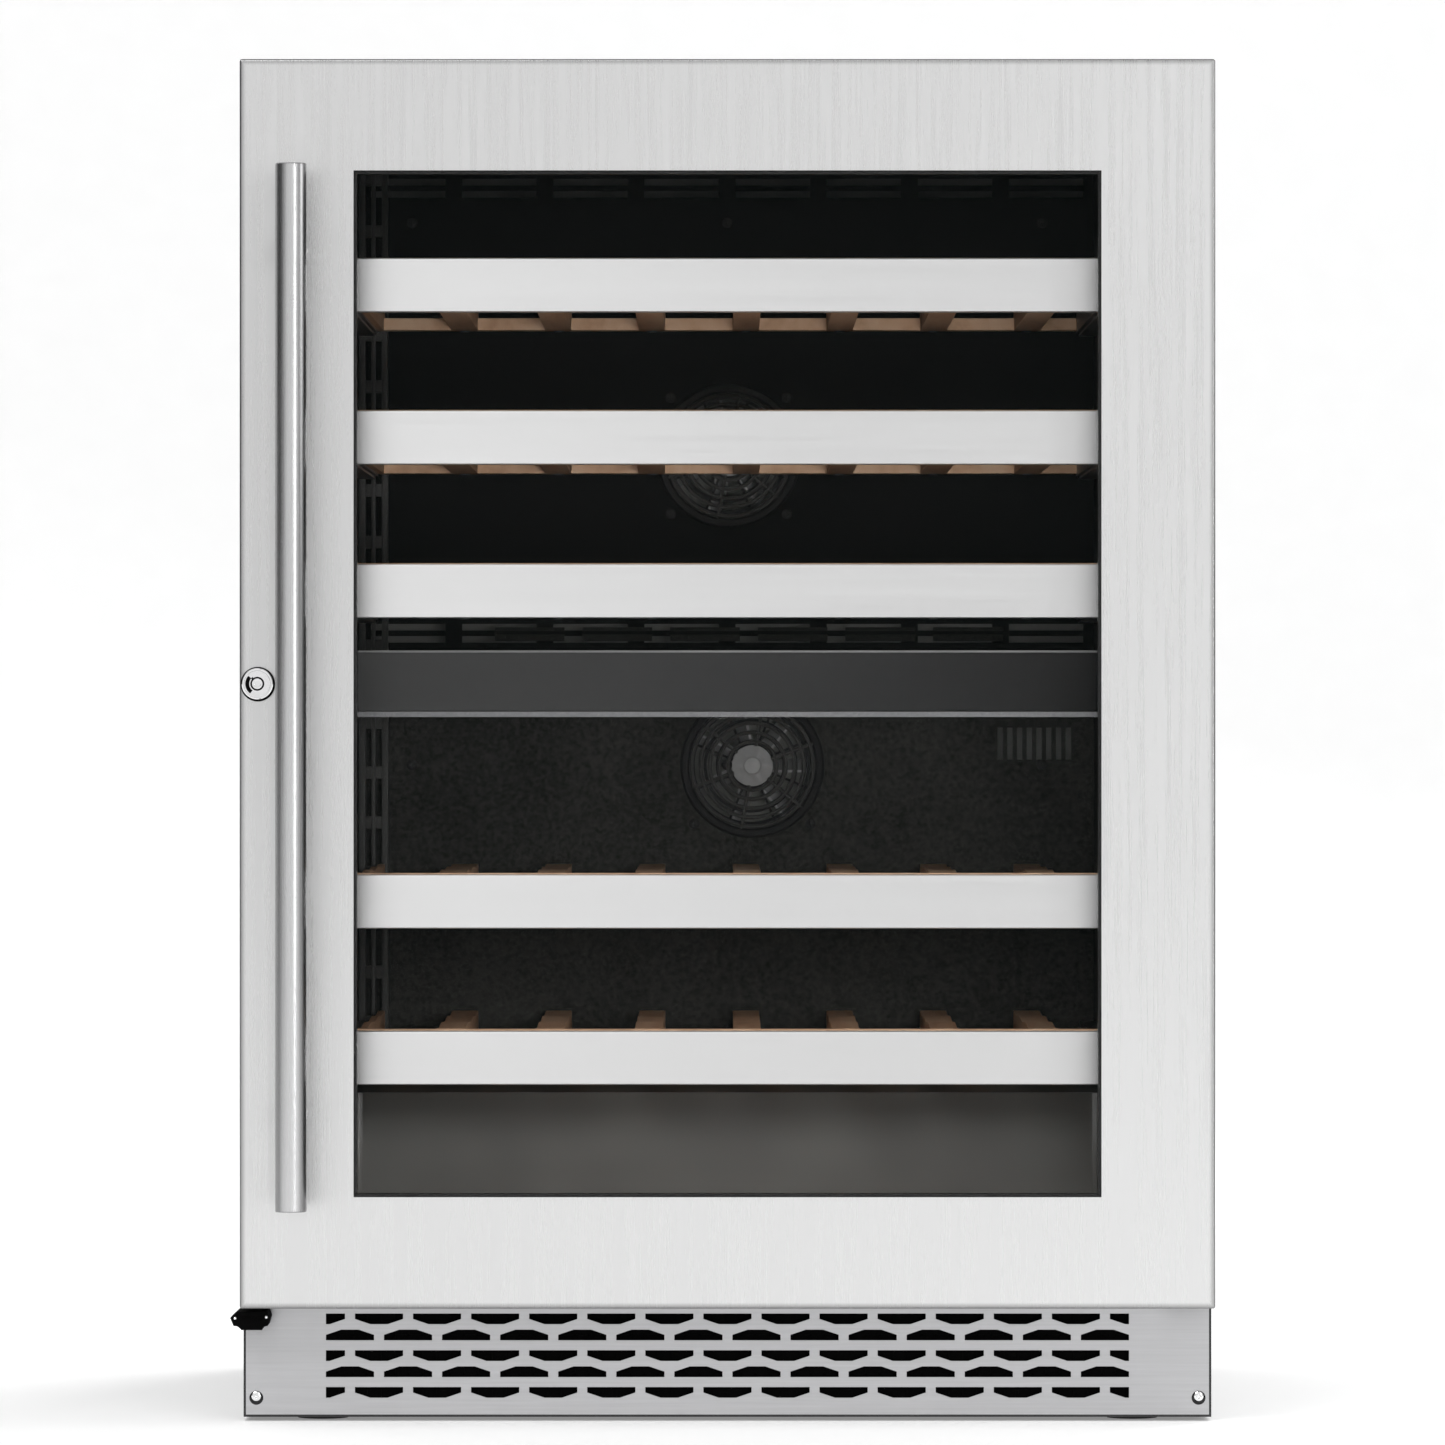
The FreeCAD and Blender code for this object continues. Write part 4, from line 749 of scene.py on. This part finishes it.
def fan_guards():
    """Ring guards over the fan openings with spokes and a lobed silver cap in the middle."""
    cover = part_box("evaporator_cover_lower")[0].y
    reach, cap = 13 * MM, 13.5 * MM

    def lobes(r, angle):
        share = r / cap
        rim = 3.0 * MM * math.sqrt(max(0.0, 1 - 0.8 * share * share))
        if share < 0.42:
            return rim + 0.7 * MM
        return rim - 1.1 * MM * (0.5 - 0.5 * math.cos(6 * angle)) * min(1.0, (share - 0.42) * 4)

    for side in ("upper", "lower"):
        low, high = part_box(f"fan_rotor_{side}")
        x, z = (low.x + high.x) / 2, (low.z + high.z) / 2
        bm = bmesh.new()
        for k in range(5):
            ring, tube = (16 + 6 * k) * MM, 1.3 * MM
            profile = [(ring + tube * math.cos(math.radians(45 * i)), tube * math.sin(math.radians(45 * i)))
                       for i in range(9)]
            add_lathe(bm, (x, cover - 1.4 * MM, z), "-y", profile, 72)
        for k in range(6):
            angle = math.radians(20 + 60 * k)
            add_bar(bm, (x + reach * math.cos(angle), cover - 1.2 * MM, z + reach * math.sin(angle)),
                    (x + 43 * MM * math.cos(angle), cover - 1.2 * MM, z + 43 * MM * math.sin(angle)),
                    1.2 * MM)
        finish_piece(from_bmesh(f"fan_guard_{side}", bm), "cabinet", "dark_plastic", "guard_plastic")
        cap_mesh = bmesh.new()
        add_relief(cap_mesh, (x, cover - 1.2 * MM, z), "-y", cap, 18, 72, lobes)
        finish_piece(from_bmesh(f"fan_hub_cap_{side}", cap_mesh), "cabinet", "silver_plastic")


def add_bar(bm, start, end, radius, sides=10):
    """A round bar between two points."""
    start, end = Vector(start), Vector(end)
    along = (end - start).normalized()
    across = along.orthogonal().normalized()
    other = along.cross(across)
    loops = []
    for spot in (start, end):
        loops.append([bm.verts.new(spot + (across * math.cos(2 * math.pi * i / sides)
                                           + other * math.sin(2 * math.pi * i / sides)) * radius)
                      for i in range(sides)])
    for i in range(sides):
        j = (i + 1) % sides
        bm.faces.new((loops[0][i], loops[0][j], loops[1][j], loops[1][i]))
    bm.faces.new(list(reversed(loops[0])))
    bm.faces.new(loops[1])


def cavity_trim():
    """Light grey bead along the control panel's top edge (painted highlight), corner fillets of the step, air
    louvres and a sensor clip.
    """
    low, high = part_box("control_panel")
    bead = bmesh.new()
    # The bead's lighter grey stands for the highlight along the panel's top edge: painted highlight.
    add_block(bead, (low.x, low.y - 0.5 * MM, high.z - 0.9 * MM), (high.x, low.y + 1 * MM, high.z + 0.3 * MM),
              0.35 * MM)
    finish_piece(from_bmesh("panel_highlight_bead", bead), "cabinet", "dark_plastic", "highlight_plastic")

    wall, step = 242 * MM, 35 * MM
    radius = 9 * MM
    fillets = bmesh.new()
    for side in (-1, 1):
        arc = [(side * (wall - radius + radius * math.sin(math.radians(15 * k))),
                step - radius + radius * math.cos(math.radians(15 * k))) for k in range(7)]
        add_run(fillets, arc + [(side * wall, step)], 96 * MM, 192.5 * MM, 2)
    finish_piece(from_bmesh("step_corner_fillets", fillets), "cabinet", "grey_plastic", "bay_gloss")

    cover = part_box("evaporator_cover_upper")[0].y
    louvres = bmesh.new()
    for k in range(6):
        x = (-130 + 57.7 * k) * MM
        for z, height in ((485.1 * MM, 4.4 * MM), (490.9 * MM, 2.4 * MM)):
            add_block(louvres, (x - 23 * MM, cover - 1.0 * MM, z - height / 2),
                      (x + 23 * MM, cover - 0.1 * MM, z + height / 2), 0.4 * MM)
    finish_piece(from_bmesh("air_louvres", louvres), "cabinet", "dark_plastic", "lower_wall")

    clip = bmesh.new()
    add_block(clip, (-241.5 * MM, -150 * MM, 420 * MM), (-232 * MM, -118 * MM, 431 * MM), 1.5 * MM, 3)
    finish_piece(from_bmesh("sensor_clip", clip), "cabinet", "nylon", "pale_plastic")


rear_standards()
fan_bezels()
fan_guards()
cavity_trim()


# ------------------------------------------------------------------ outside


def kick_screws():
    """Chrome screw heads: an outer dome in a darkened copy of chrome (painted shade) round a bright
    cross-recessed dome set a little high, so the dark shows as a crescent below.
    """
    low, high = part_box("kick_plate_screws")
    heads, sockets = bmesh.new(), bmesh.new()
    radius = (high.z - low.z) / 2
    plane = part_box("kick_plate")[0].y
    for x in (low.x + radius, high.x - radius):
        add_lathe(heads, (x, plane, low.z + radius), "-y",
                  [(radius * math.cos(math.radians(10 * k)), 1.7 * MM * math.sin(math.radians(10 * k)))
                   for k in range(9)] + [(0, 1.7 * MM)], 48)
        # The bright dome sits 1.1 mm above the head's middle, leaving a dark crescent below it: painted
        # shade.
        add_screw(sockets, (x, plane - 1.2 * MM, low.z + radius + 1.1 * MM), "-y", 2.9 * MM, 1.2 * MM)
    finish_piece(from_bmesh("kick_screw_heads", heads), "cabinet", "chrome", "shaded_chrome",
                 replaces=("kick_plate_screws",))
    finish_piece(from_bmesh("kick_screw_sockets", sockets), "cabinet", "chrome")


def stop_bracket():
    """Black stop block with chamfered ends, a stepped underside and two bright pin ends."""
    low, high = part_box("stop_bracket_left")
    outline = [(0.5, -4.0), (4.8, 0.0), (23.3, 0.0), (24.7, -4.0), (23.3, -8.9),
               (19.9, -8.9), (19.9, -11.4), (7.2, -11.4), (6.2, -8.9), (2.6, -8.9)]
    bm = bmesh.new()
    add_run(bm, [(low.x + x * MM, high.z + z * MM) for x, z in outline], low.y, high.y, 1)
    rims = [edge for edge in bm.edges if abs(edge.verts[0].co.y - low.y) < 1e-6
            and abs(edge.verts[1].co.y - low.y) < 1e-6]
    bmesh.ops.bevel(bm, geom=rims, offset=0.7 * MM, segments=2, affect="EDGES", profile=0.6)
    add_block(bm, (low.x + 7 * MM, low.y - 0.5 * MM, high.z - 4.4 * MM),
              (low.x + 20 * MM, low.y + 1 * MM, high.z - 3.8 * MM), 0.2 * MM)
    finish_piece(from_bmesh("stop_block", bm), "cabinet", "dark_plastic", "black_and_shade",
                 replaces=("stop_bracket_left",))
    pins = bmesh.new()
    for x, z in ((3.5, -4.1), (22.6, -3.5)):
        add_screw(pins, (low.x + x * MM, low.y, high.z + z * MM), "-y", 0.8 * MM, 0.6 * MM)
    finish_piece(from_bmesh("stop_pin_ends", pins), "cabinet", "chrome")


def shade_screen():
    """Near-black mesh behind the kick plate, so that its slots read as shade: painted shade."""
    low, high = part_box("kick_plate")
    bm = bmesh.new()
    y = high.y + 3 * MM
    x0, x1, z0, z1 = low.x + 40 * MM, high.x - 40 * MM, low.z + 8 * MM, high.z - 9 * MM
    add_block(bm, (x0, y + 1.2 * MM, z0), (x1, y + 2.4 * MM, z1))
    bars = 60
    for k in range(bars + 1):
        x = x0 + (x1 - x0) * k / bars
        add_block(bm, (x - 0.5 * MM, y, z0), (x + 0.5 * MM, y + 1.2 * MM, z1))
    rows = 7
    for k in range(rows + 1):
        z = z0 + (z1 - z0) * k / rows
        add_block(bm, (x0, y, z - 0.5 * MM), (x1, y + 1.2 * MM, z + 0.5 * MM))
    finish_piece(from_bmesh("shade_screen", bm), "cabinet", "dark_plastic", "black_and_shade")


def feet():
    """Feet with a rounded pad and a threaded stud."""
    def profile(stud_top):
        """Pad, neck and a stud with one thread groove every 1.5 mm."""
        shape = [(0, 0), (15.5 * MM, 0), (17 * MM, 1.2 * MM), (17 * MM, 4.6 * MM), (15.5 * MM, 6.2 * MM),
                 (11 * MM, 7.2 * MM), (8 * MM, 8 * MM), (8 * MM, 8.4 * MM), (5 * MM, 8.6 * MM)]
        height = 9.0 * MM
        while height + 1.5 * MM < stud_top:
            shape += [(5.0 * MM, height), (4.35 * MM, height + 0.75 * MM)]
            height += 1.5 * MM
        return shape + [(4.2 * MM, stud_top), (0, stud_top)]

    for side in ("left", "right"):
        node = f"front_foot_{side}"
        low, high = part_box(node)
        bm = bmesh.new()
        add_lathe(bm, ((low.x + high.x) / 2, (low.y + high.y) / 2, 0), "+z", profile(high.z), 48)
        finish_piece(from_bmesh(f"foot_{side}_detail", bm), f"foot_{side}", "rubber", replaces=(node,))
    low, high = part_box("rear_feet")
    bm = bmesh.new()
    for x in (low.x + 17 * MM, high.x - 17 * MM):
        add_lathe(bm, (x, (low.y + high.y) / 2, 0), "+z", profile(high.z), 48)
    finish_piece(from_bmesh("rear_feet_detail", bm), "cabinet", "rubber", replaces=("rear_feet",))


def back_details():
    """Embossed beads, edge screws, slot hoods and a blank foil plate on the rear sheet."""
    low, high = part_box("back_panel")
    y = high.y
    beads, screws, hoods, foil = bmesh.new(), bmesh.new(), bmesh.new(), bmesh.new()
    bottom, top = low.z + 190 * MM, high.z - 40 * MM
    for k in range(4):
        x = (k - 1.5) * 130 * MM
        steps = 10
        profile = [(x - 9 * MM + 18 * MM * i / steps, y + 3.4 * MM * math.sin(math.pi * i / steps))
                   for i in range(steps + 1)]
        add_run(beads, profile, bottom, top, 2)
    for x in (low.x + 8 * MM, high.x - 8 * MM):
        for k in range(6):
            z = low.z + 30 * MM + k * (high.z - low.z - 50 * MM) / 5
            add_screw(screws, (x, y, z), "+y", 4 * MM, 1.9 * MM)
    for k in range(1, 4):
        add_screw(screws, (low.x + (high.x - low.x) * k / 4, y, high.z - 12 * MM), "+y", 4 * MM, 1.9 * MM)
    for column in range(8):
        for row in range(8):
            x, z = (-250 + 56 * column) * MM, (130 - 12 * row) * MM
            profile = [(y, z + 5 * MM), (y, z + 6.2 * MM), (y + 3.2 * MM, z + 2.8 * MM),
                       (y + 2.8 * MM, z + 2.0 * MM)]
            add_run(hoods, profile, x - 0.5 * MM, x + 40.5 * MM, 0)
    add_block(foil, (82 * MM, y, 175 * MM), (172 * MM, y + 0.4 * MM, 225 * MM), 0.15 * MM)
    finish_piece(from_bmesh("rear_beads", beads), "cabinet", "zinc_steel")
    finish_piece(from_bmesh("rear_screws", screws), "cabinet", "zinc_steel")
    finish_piece(from_bmesh("rear_slot_hoods", hoods, 20), "cabinet", "zinc_steel")
    finish_piece(from_bmesh("blank_plate", foil), "cabinet", "satin_steel", "kick_steel")


def bracket_screws():
    """Countersunk screws in the hinge plates."""
    bm = bmesh.new()
    for node in ("hinge_bracket_upper", "hinge_bracket_lower"):
        low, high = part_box(node)
        x = (low.x + high.x) / 2 - 6 * MM
        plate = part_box("front_flange")[0].y - 2.5 * MM
        middle = (low.z + high.z) / 2
        offset = 4 * MM if node.endswith("lower") else -4 * MM
        for step in (-7 * MM, 7 * MM):
            add_screw(bm, (x, plate, middle + offset + step), "-y", 3.2 * MM, 1.0 * MM)
    finish_piece(from_bmesh("bracket_screws", bm), "cabinet", "black_steel")


def strike_cup():
    """Moulded cup behind the lock's slot, which keeps the foam out of the cam's way."""
    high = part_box("lock_strike")[1]
    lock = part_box("lock_cylinder")
    x, z = (lock[0].x + lock[1].x) / 2, (lock[0].z + lock[1].z) / 2
    left, right, bottom, top = x - 9.4 * MM, x + 24 * MM, z - 13.5 * MM, z + 25.5 * MM
    front, back, wall = high.y + 0.1 * MM, high.y + 13.4 * MM, 1.0 * MM
    cup = bmesh.new()
    add_block(cup, (left, back - wall, bottom), (right, back, top), 0.3 * MM)
    for start, end in (((left, bottom), (left + wall, top)), ((right - wall, bottom), (right, top)),
                       ((left, bottom), (right, bottom + wall)), ((left, top - wall), (right, top))):
        add_block(cup, (start[0], front, start[1]), (end[0], back, end[1]), 0.3 * MM)
    finish_piece(from_bmesh("strike_cup", cup), "cabinet", "dark_plastic")


kick_screws()
stop_bracket()
strike_cup()
shade_screen()
feet()
back_details()
bracket_screws()


# ------------------------------------------------------------------ stage, light and camera


def stage():
    """Pale floor that curves up into a backdrop."""
    bm = bmesh.new()
    half, front, back, rise, bend = 14.0, -9.0, 7.0, 9.0, 3.0
    line = [(front, 0.0), (back - bend, 0.0)]
    steps = 16
    for k in range(1, steps + 1):
        angle = math.pi / 2 * k / steps
        line.append((back - bend + bend * math.sin(angle), bend - bend * math.cos(angle)))
    line.append((back, rise))
    rows = [[bm.verts.new((x, y, z)) for x in (-half, half)] for y, z in line]
    for one, two in zip(rows, rows[1:]):
        bm.faces.new((one[0], one[1], two[1], two[0]))
    floor = from_bmesh("studio_floor", bm, 60)
    made = Shader("studio_paper", Roughness=0.9)
    fibre = made.noise((30, 30, 30), detail=3.0)
    made.colour(made.ramp(fibre, [(0.3, (0.90, 0.90, 0.90)), (0.7, (0.93, 0.93, 0.93))]))
    made.bsdf.inputs["Emission Color"].default_value = (1, 1, 1, 1)
    made.bsdf.inputs["Emission Strength"].default_value = 0.24
    floor.data.materials.append(made.material)


def sky():
    """Studio surroundings: a bright front and top, darker sides, and white to the camera."""
    world = bpy.data.worlds.new("studio")
    bpy.context.scene.world = world
    world.use_nodes = True
    tree = world.node_tree
    tree.nodes.clear()

    def add(kind, **settings):
        made = tree.nodes.new(kind)
        for key, value in settings.items():
            setattr(made, key, value)
        return made

    where = add("ShaderNodeTexCoord")
    parts = add("ShaderNodeSeparateXYZ")
    tree.links.new(where.outputs["Generated"], parts.inputs[0])
    ahead = add("ShaderNodeMath", operation="MULTIPLY")
    ahead.inputs[1].default_value = -1.0
    tree.links.new(parts.outputs["Y"], ahead.inputs[0])
    turn = add("ShaderNodeMath", operation="ARCTAN2")
    tree.links.new(parts.outputs["X"], turn.inputs[0])
    tree.links.new(ahead.outputs[0], turn.inputs[1])
    share = add("ShaderNodeMapRange")
    share.inputs["From Min"].default_value, share.inputs["From Max"].default_value = -math.pi, math.pi
    tree.links.new(turn.outputs[0], share.inputs["Value"])
    front = add("ShaderNodeValToRGB")
    front.color_ramp.interpolation = "LINEAR"
    stops = [(-180, 0.09), (-80, 0.06), (-62, 0.13), (-45, 0.44), (-28, 0.99), (14, 1.04),
             (40, 0.9), (53, 0.62), (66, 0.30), (88, 0.16), (104, 0.09), (180, 0.09)]
    steps = front.color_ramp.elements
    while len(steps) < len(stops):
        steps.new(0.5)
    for step, (angle, value) in zip(steps, stops):
        step.position = (angle + 180) / 360
        step.color = (value, value, value, 1)
    tree.links.new(share.outputs["Result"], front.inputs["Fac"])
    above = add("ShaderNodeMapRange", interpolation_type="SMOOTHSTEP")
    for socket, value in (("From Min", 0.35), ("From Max", 0.9), ("To Min", 0.0), ("To Max", 0.9)):
        above.inputs[socket].default_value = value
    tree.links.new(parts.outputs["Z"], above.inputs["Value"])
    both = add("ShaderNodeMath", operation="MAXIMUM")
    tree.links.new(front.outputs["Color"], both.inputs[0])
    tree.links.new(above.outputs["Result"], both.inputs[1])
    glow = add("ShaderNodeBackground")
    tree.links.new(both.outputs[0], glow.inputs["Strength"])
    white = add("ShaderNodeBackground")
    white.inputs["Strength"].default_value = 1.0
    ray = add("ShaderNodeLightPath")
    mix = add("ShaderNodeMixShader")
    tree.links.new(ray.outputs["Is Camera Ray"], mix.inputs["Fac"])
    tree.links.new(glow.outputs[0], mix.inputs[1])
    tree.links.new(white.outputs[0], mix.inputs[2])
    out = add("ShaderNodeOutputWorld")
    tree.links.new(mix.outputs[0], out.inputs["Surface"])


def area_light(name, place, target, size, power):
    """A soft rectangular light that faces a target."""
    data = bpy.data.lights.new(name, "AREA")
    data.shape = "RECTANGLE"
    data.size, data.size_y = size
    data.energy = power
    light = new_object(name, data)
    light.location = place
    light.rotation_euler = (Vector(target) - Vector(place)).to_track_quat("-Z", "Y").to_euler()
    return light


def camera():
    """Level camera far in front, a little left of the door's middle."""
    data = bpy.data.cameras.new("camera")
    data.sensor_width = 36.0
    data.lens = 245.2
    data.clip_end = 60
    distance, left_of_middle, eye_height = 6.0, 3.05 * MM, 429.4 * MM
    eye = new_object("camera", data)
    door_low, door_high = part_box("door_frame")
    eye.location = ((door_low.x + door_high.x) / 2 - left_of_middle, door_low.y - distance, eye_height)
    eye.rotation_euler = (math.radians(90), 0, 0)
    bpy.context.scene.camera = eye


stage()
sky()
area_light("strip", (2.3, -4.4, 1.0), (0, -0.3, 0.5), (0.22, 3.2), 26)
area_light("key", (-1.6, -3.6, 3.2), (0, 0, 0.4), (2.2, 1.6), 70)
area_light("rear_fill", (1.8, 3.6, 2.6), (0, 0, 0.4), (2.0, 1.6), 70)
area_light("side_fill", (4.0, -0.4, 1.6), (0, 0, 0.4), (1.6, 1.8), 30)
fill = area_light("cavity_fill", (0.2, -1.6, 0.42), (0, 0.2, 0.52), (0.5, 0.15), 1.3)
fill.data.spread = math.radians(60)
fill.visible_camera = False
fill.visible_glossy = False
camera()
bpy.context.scene.view_settings.view_transform = "Standard"
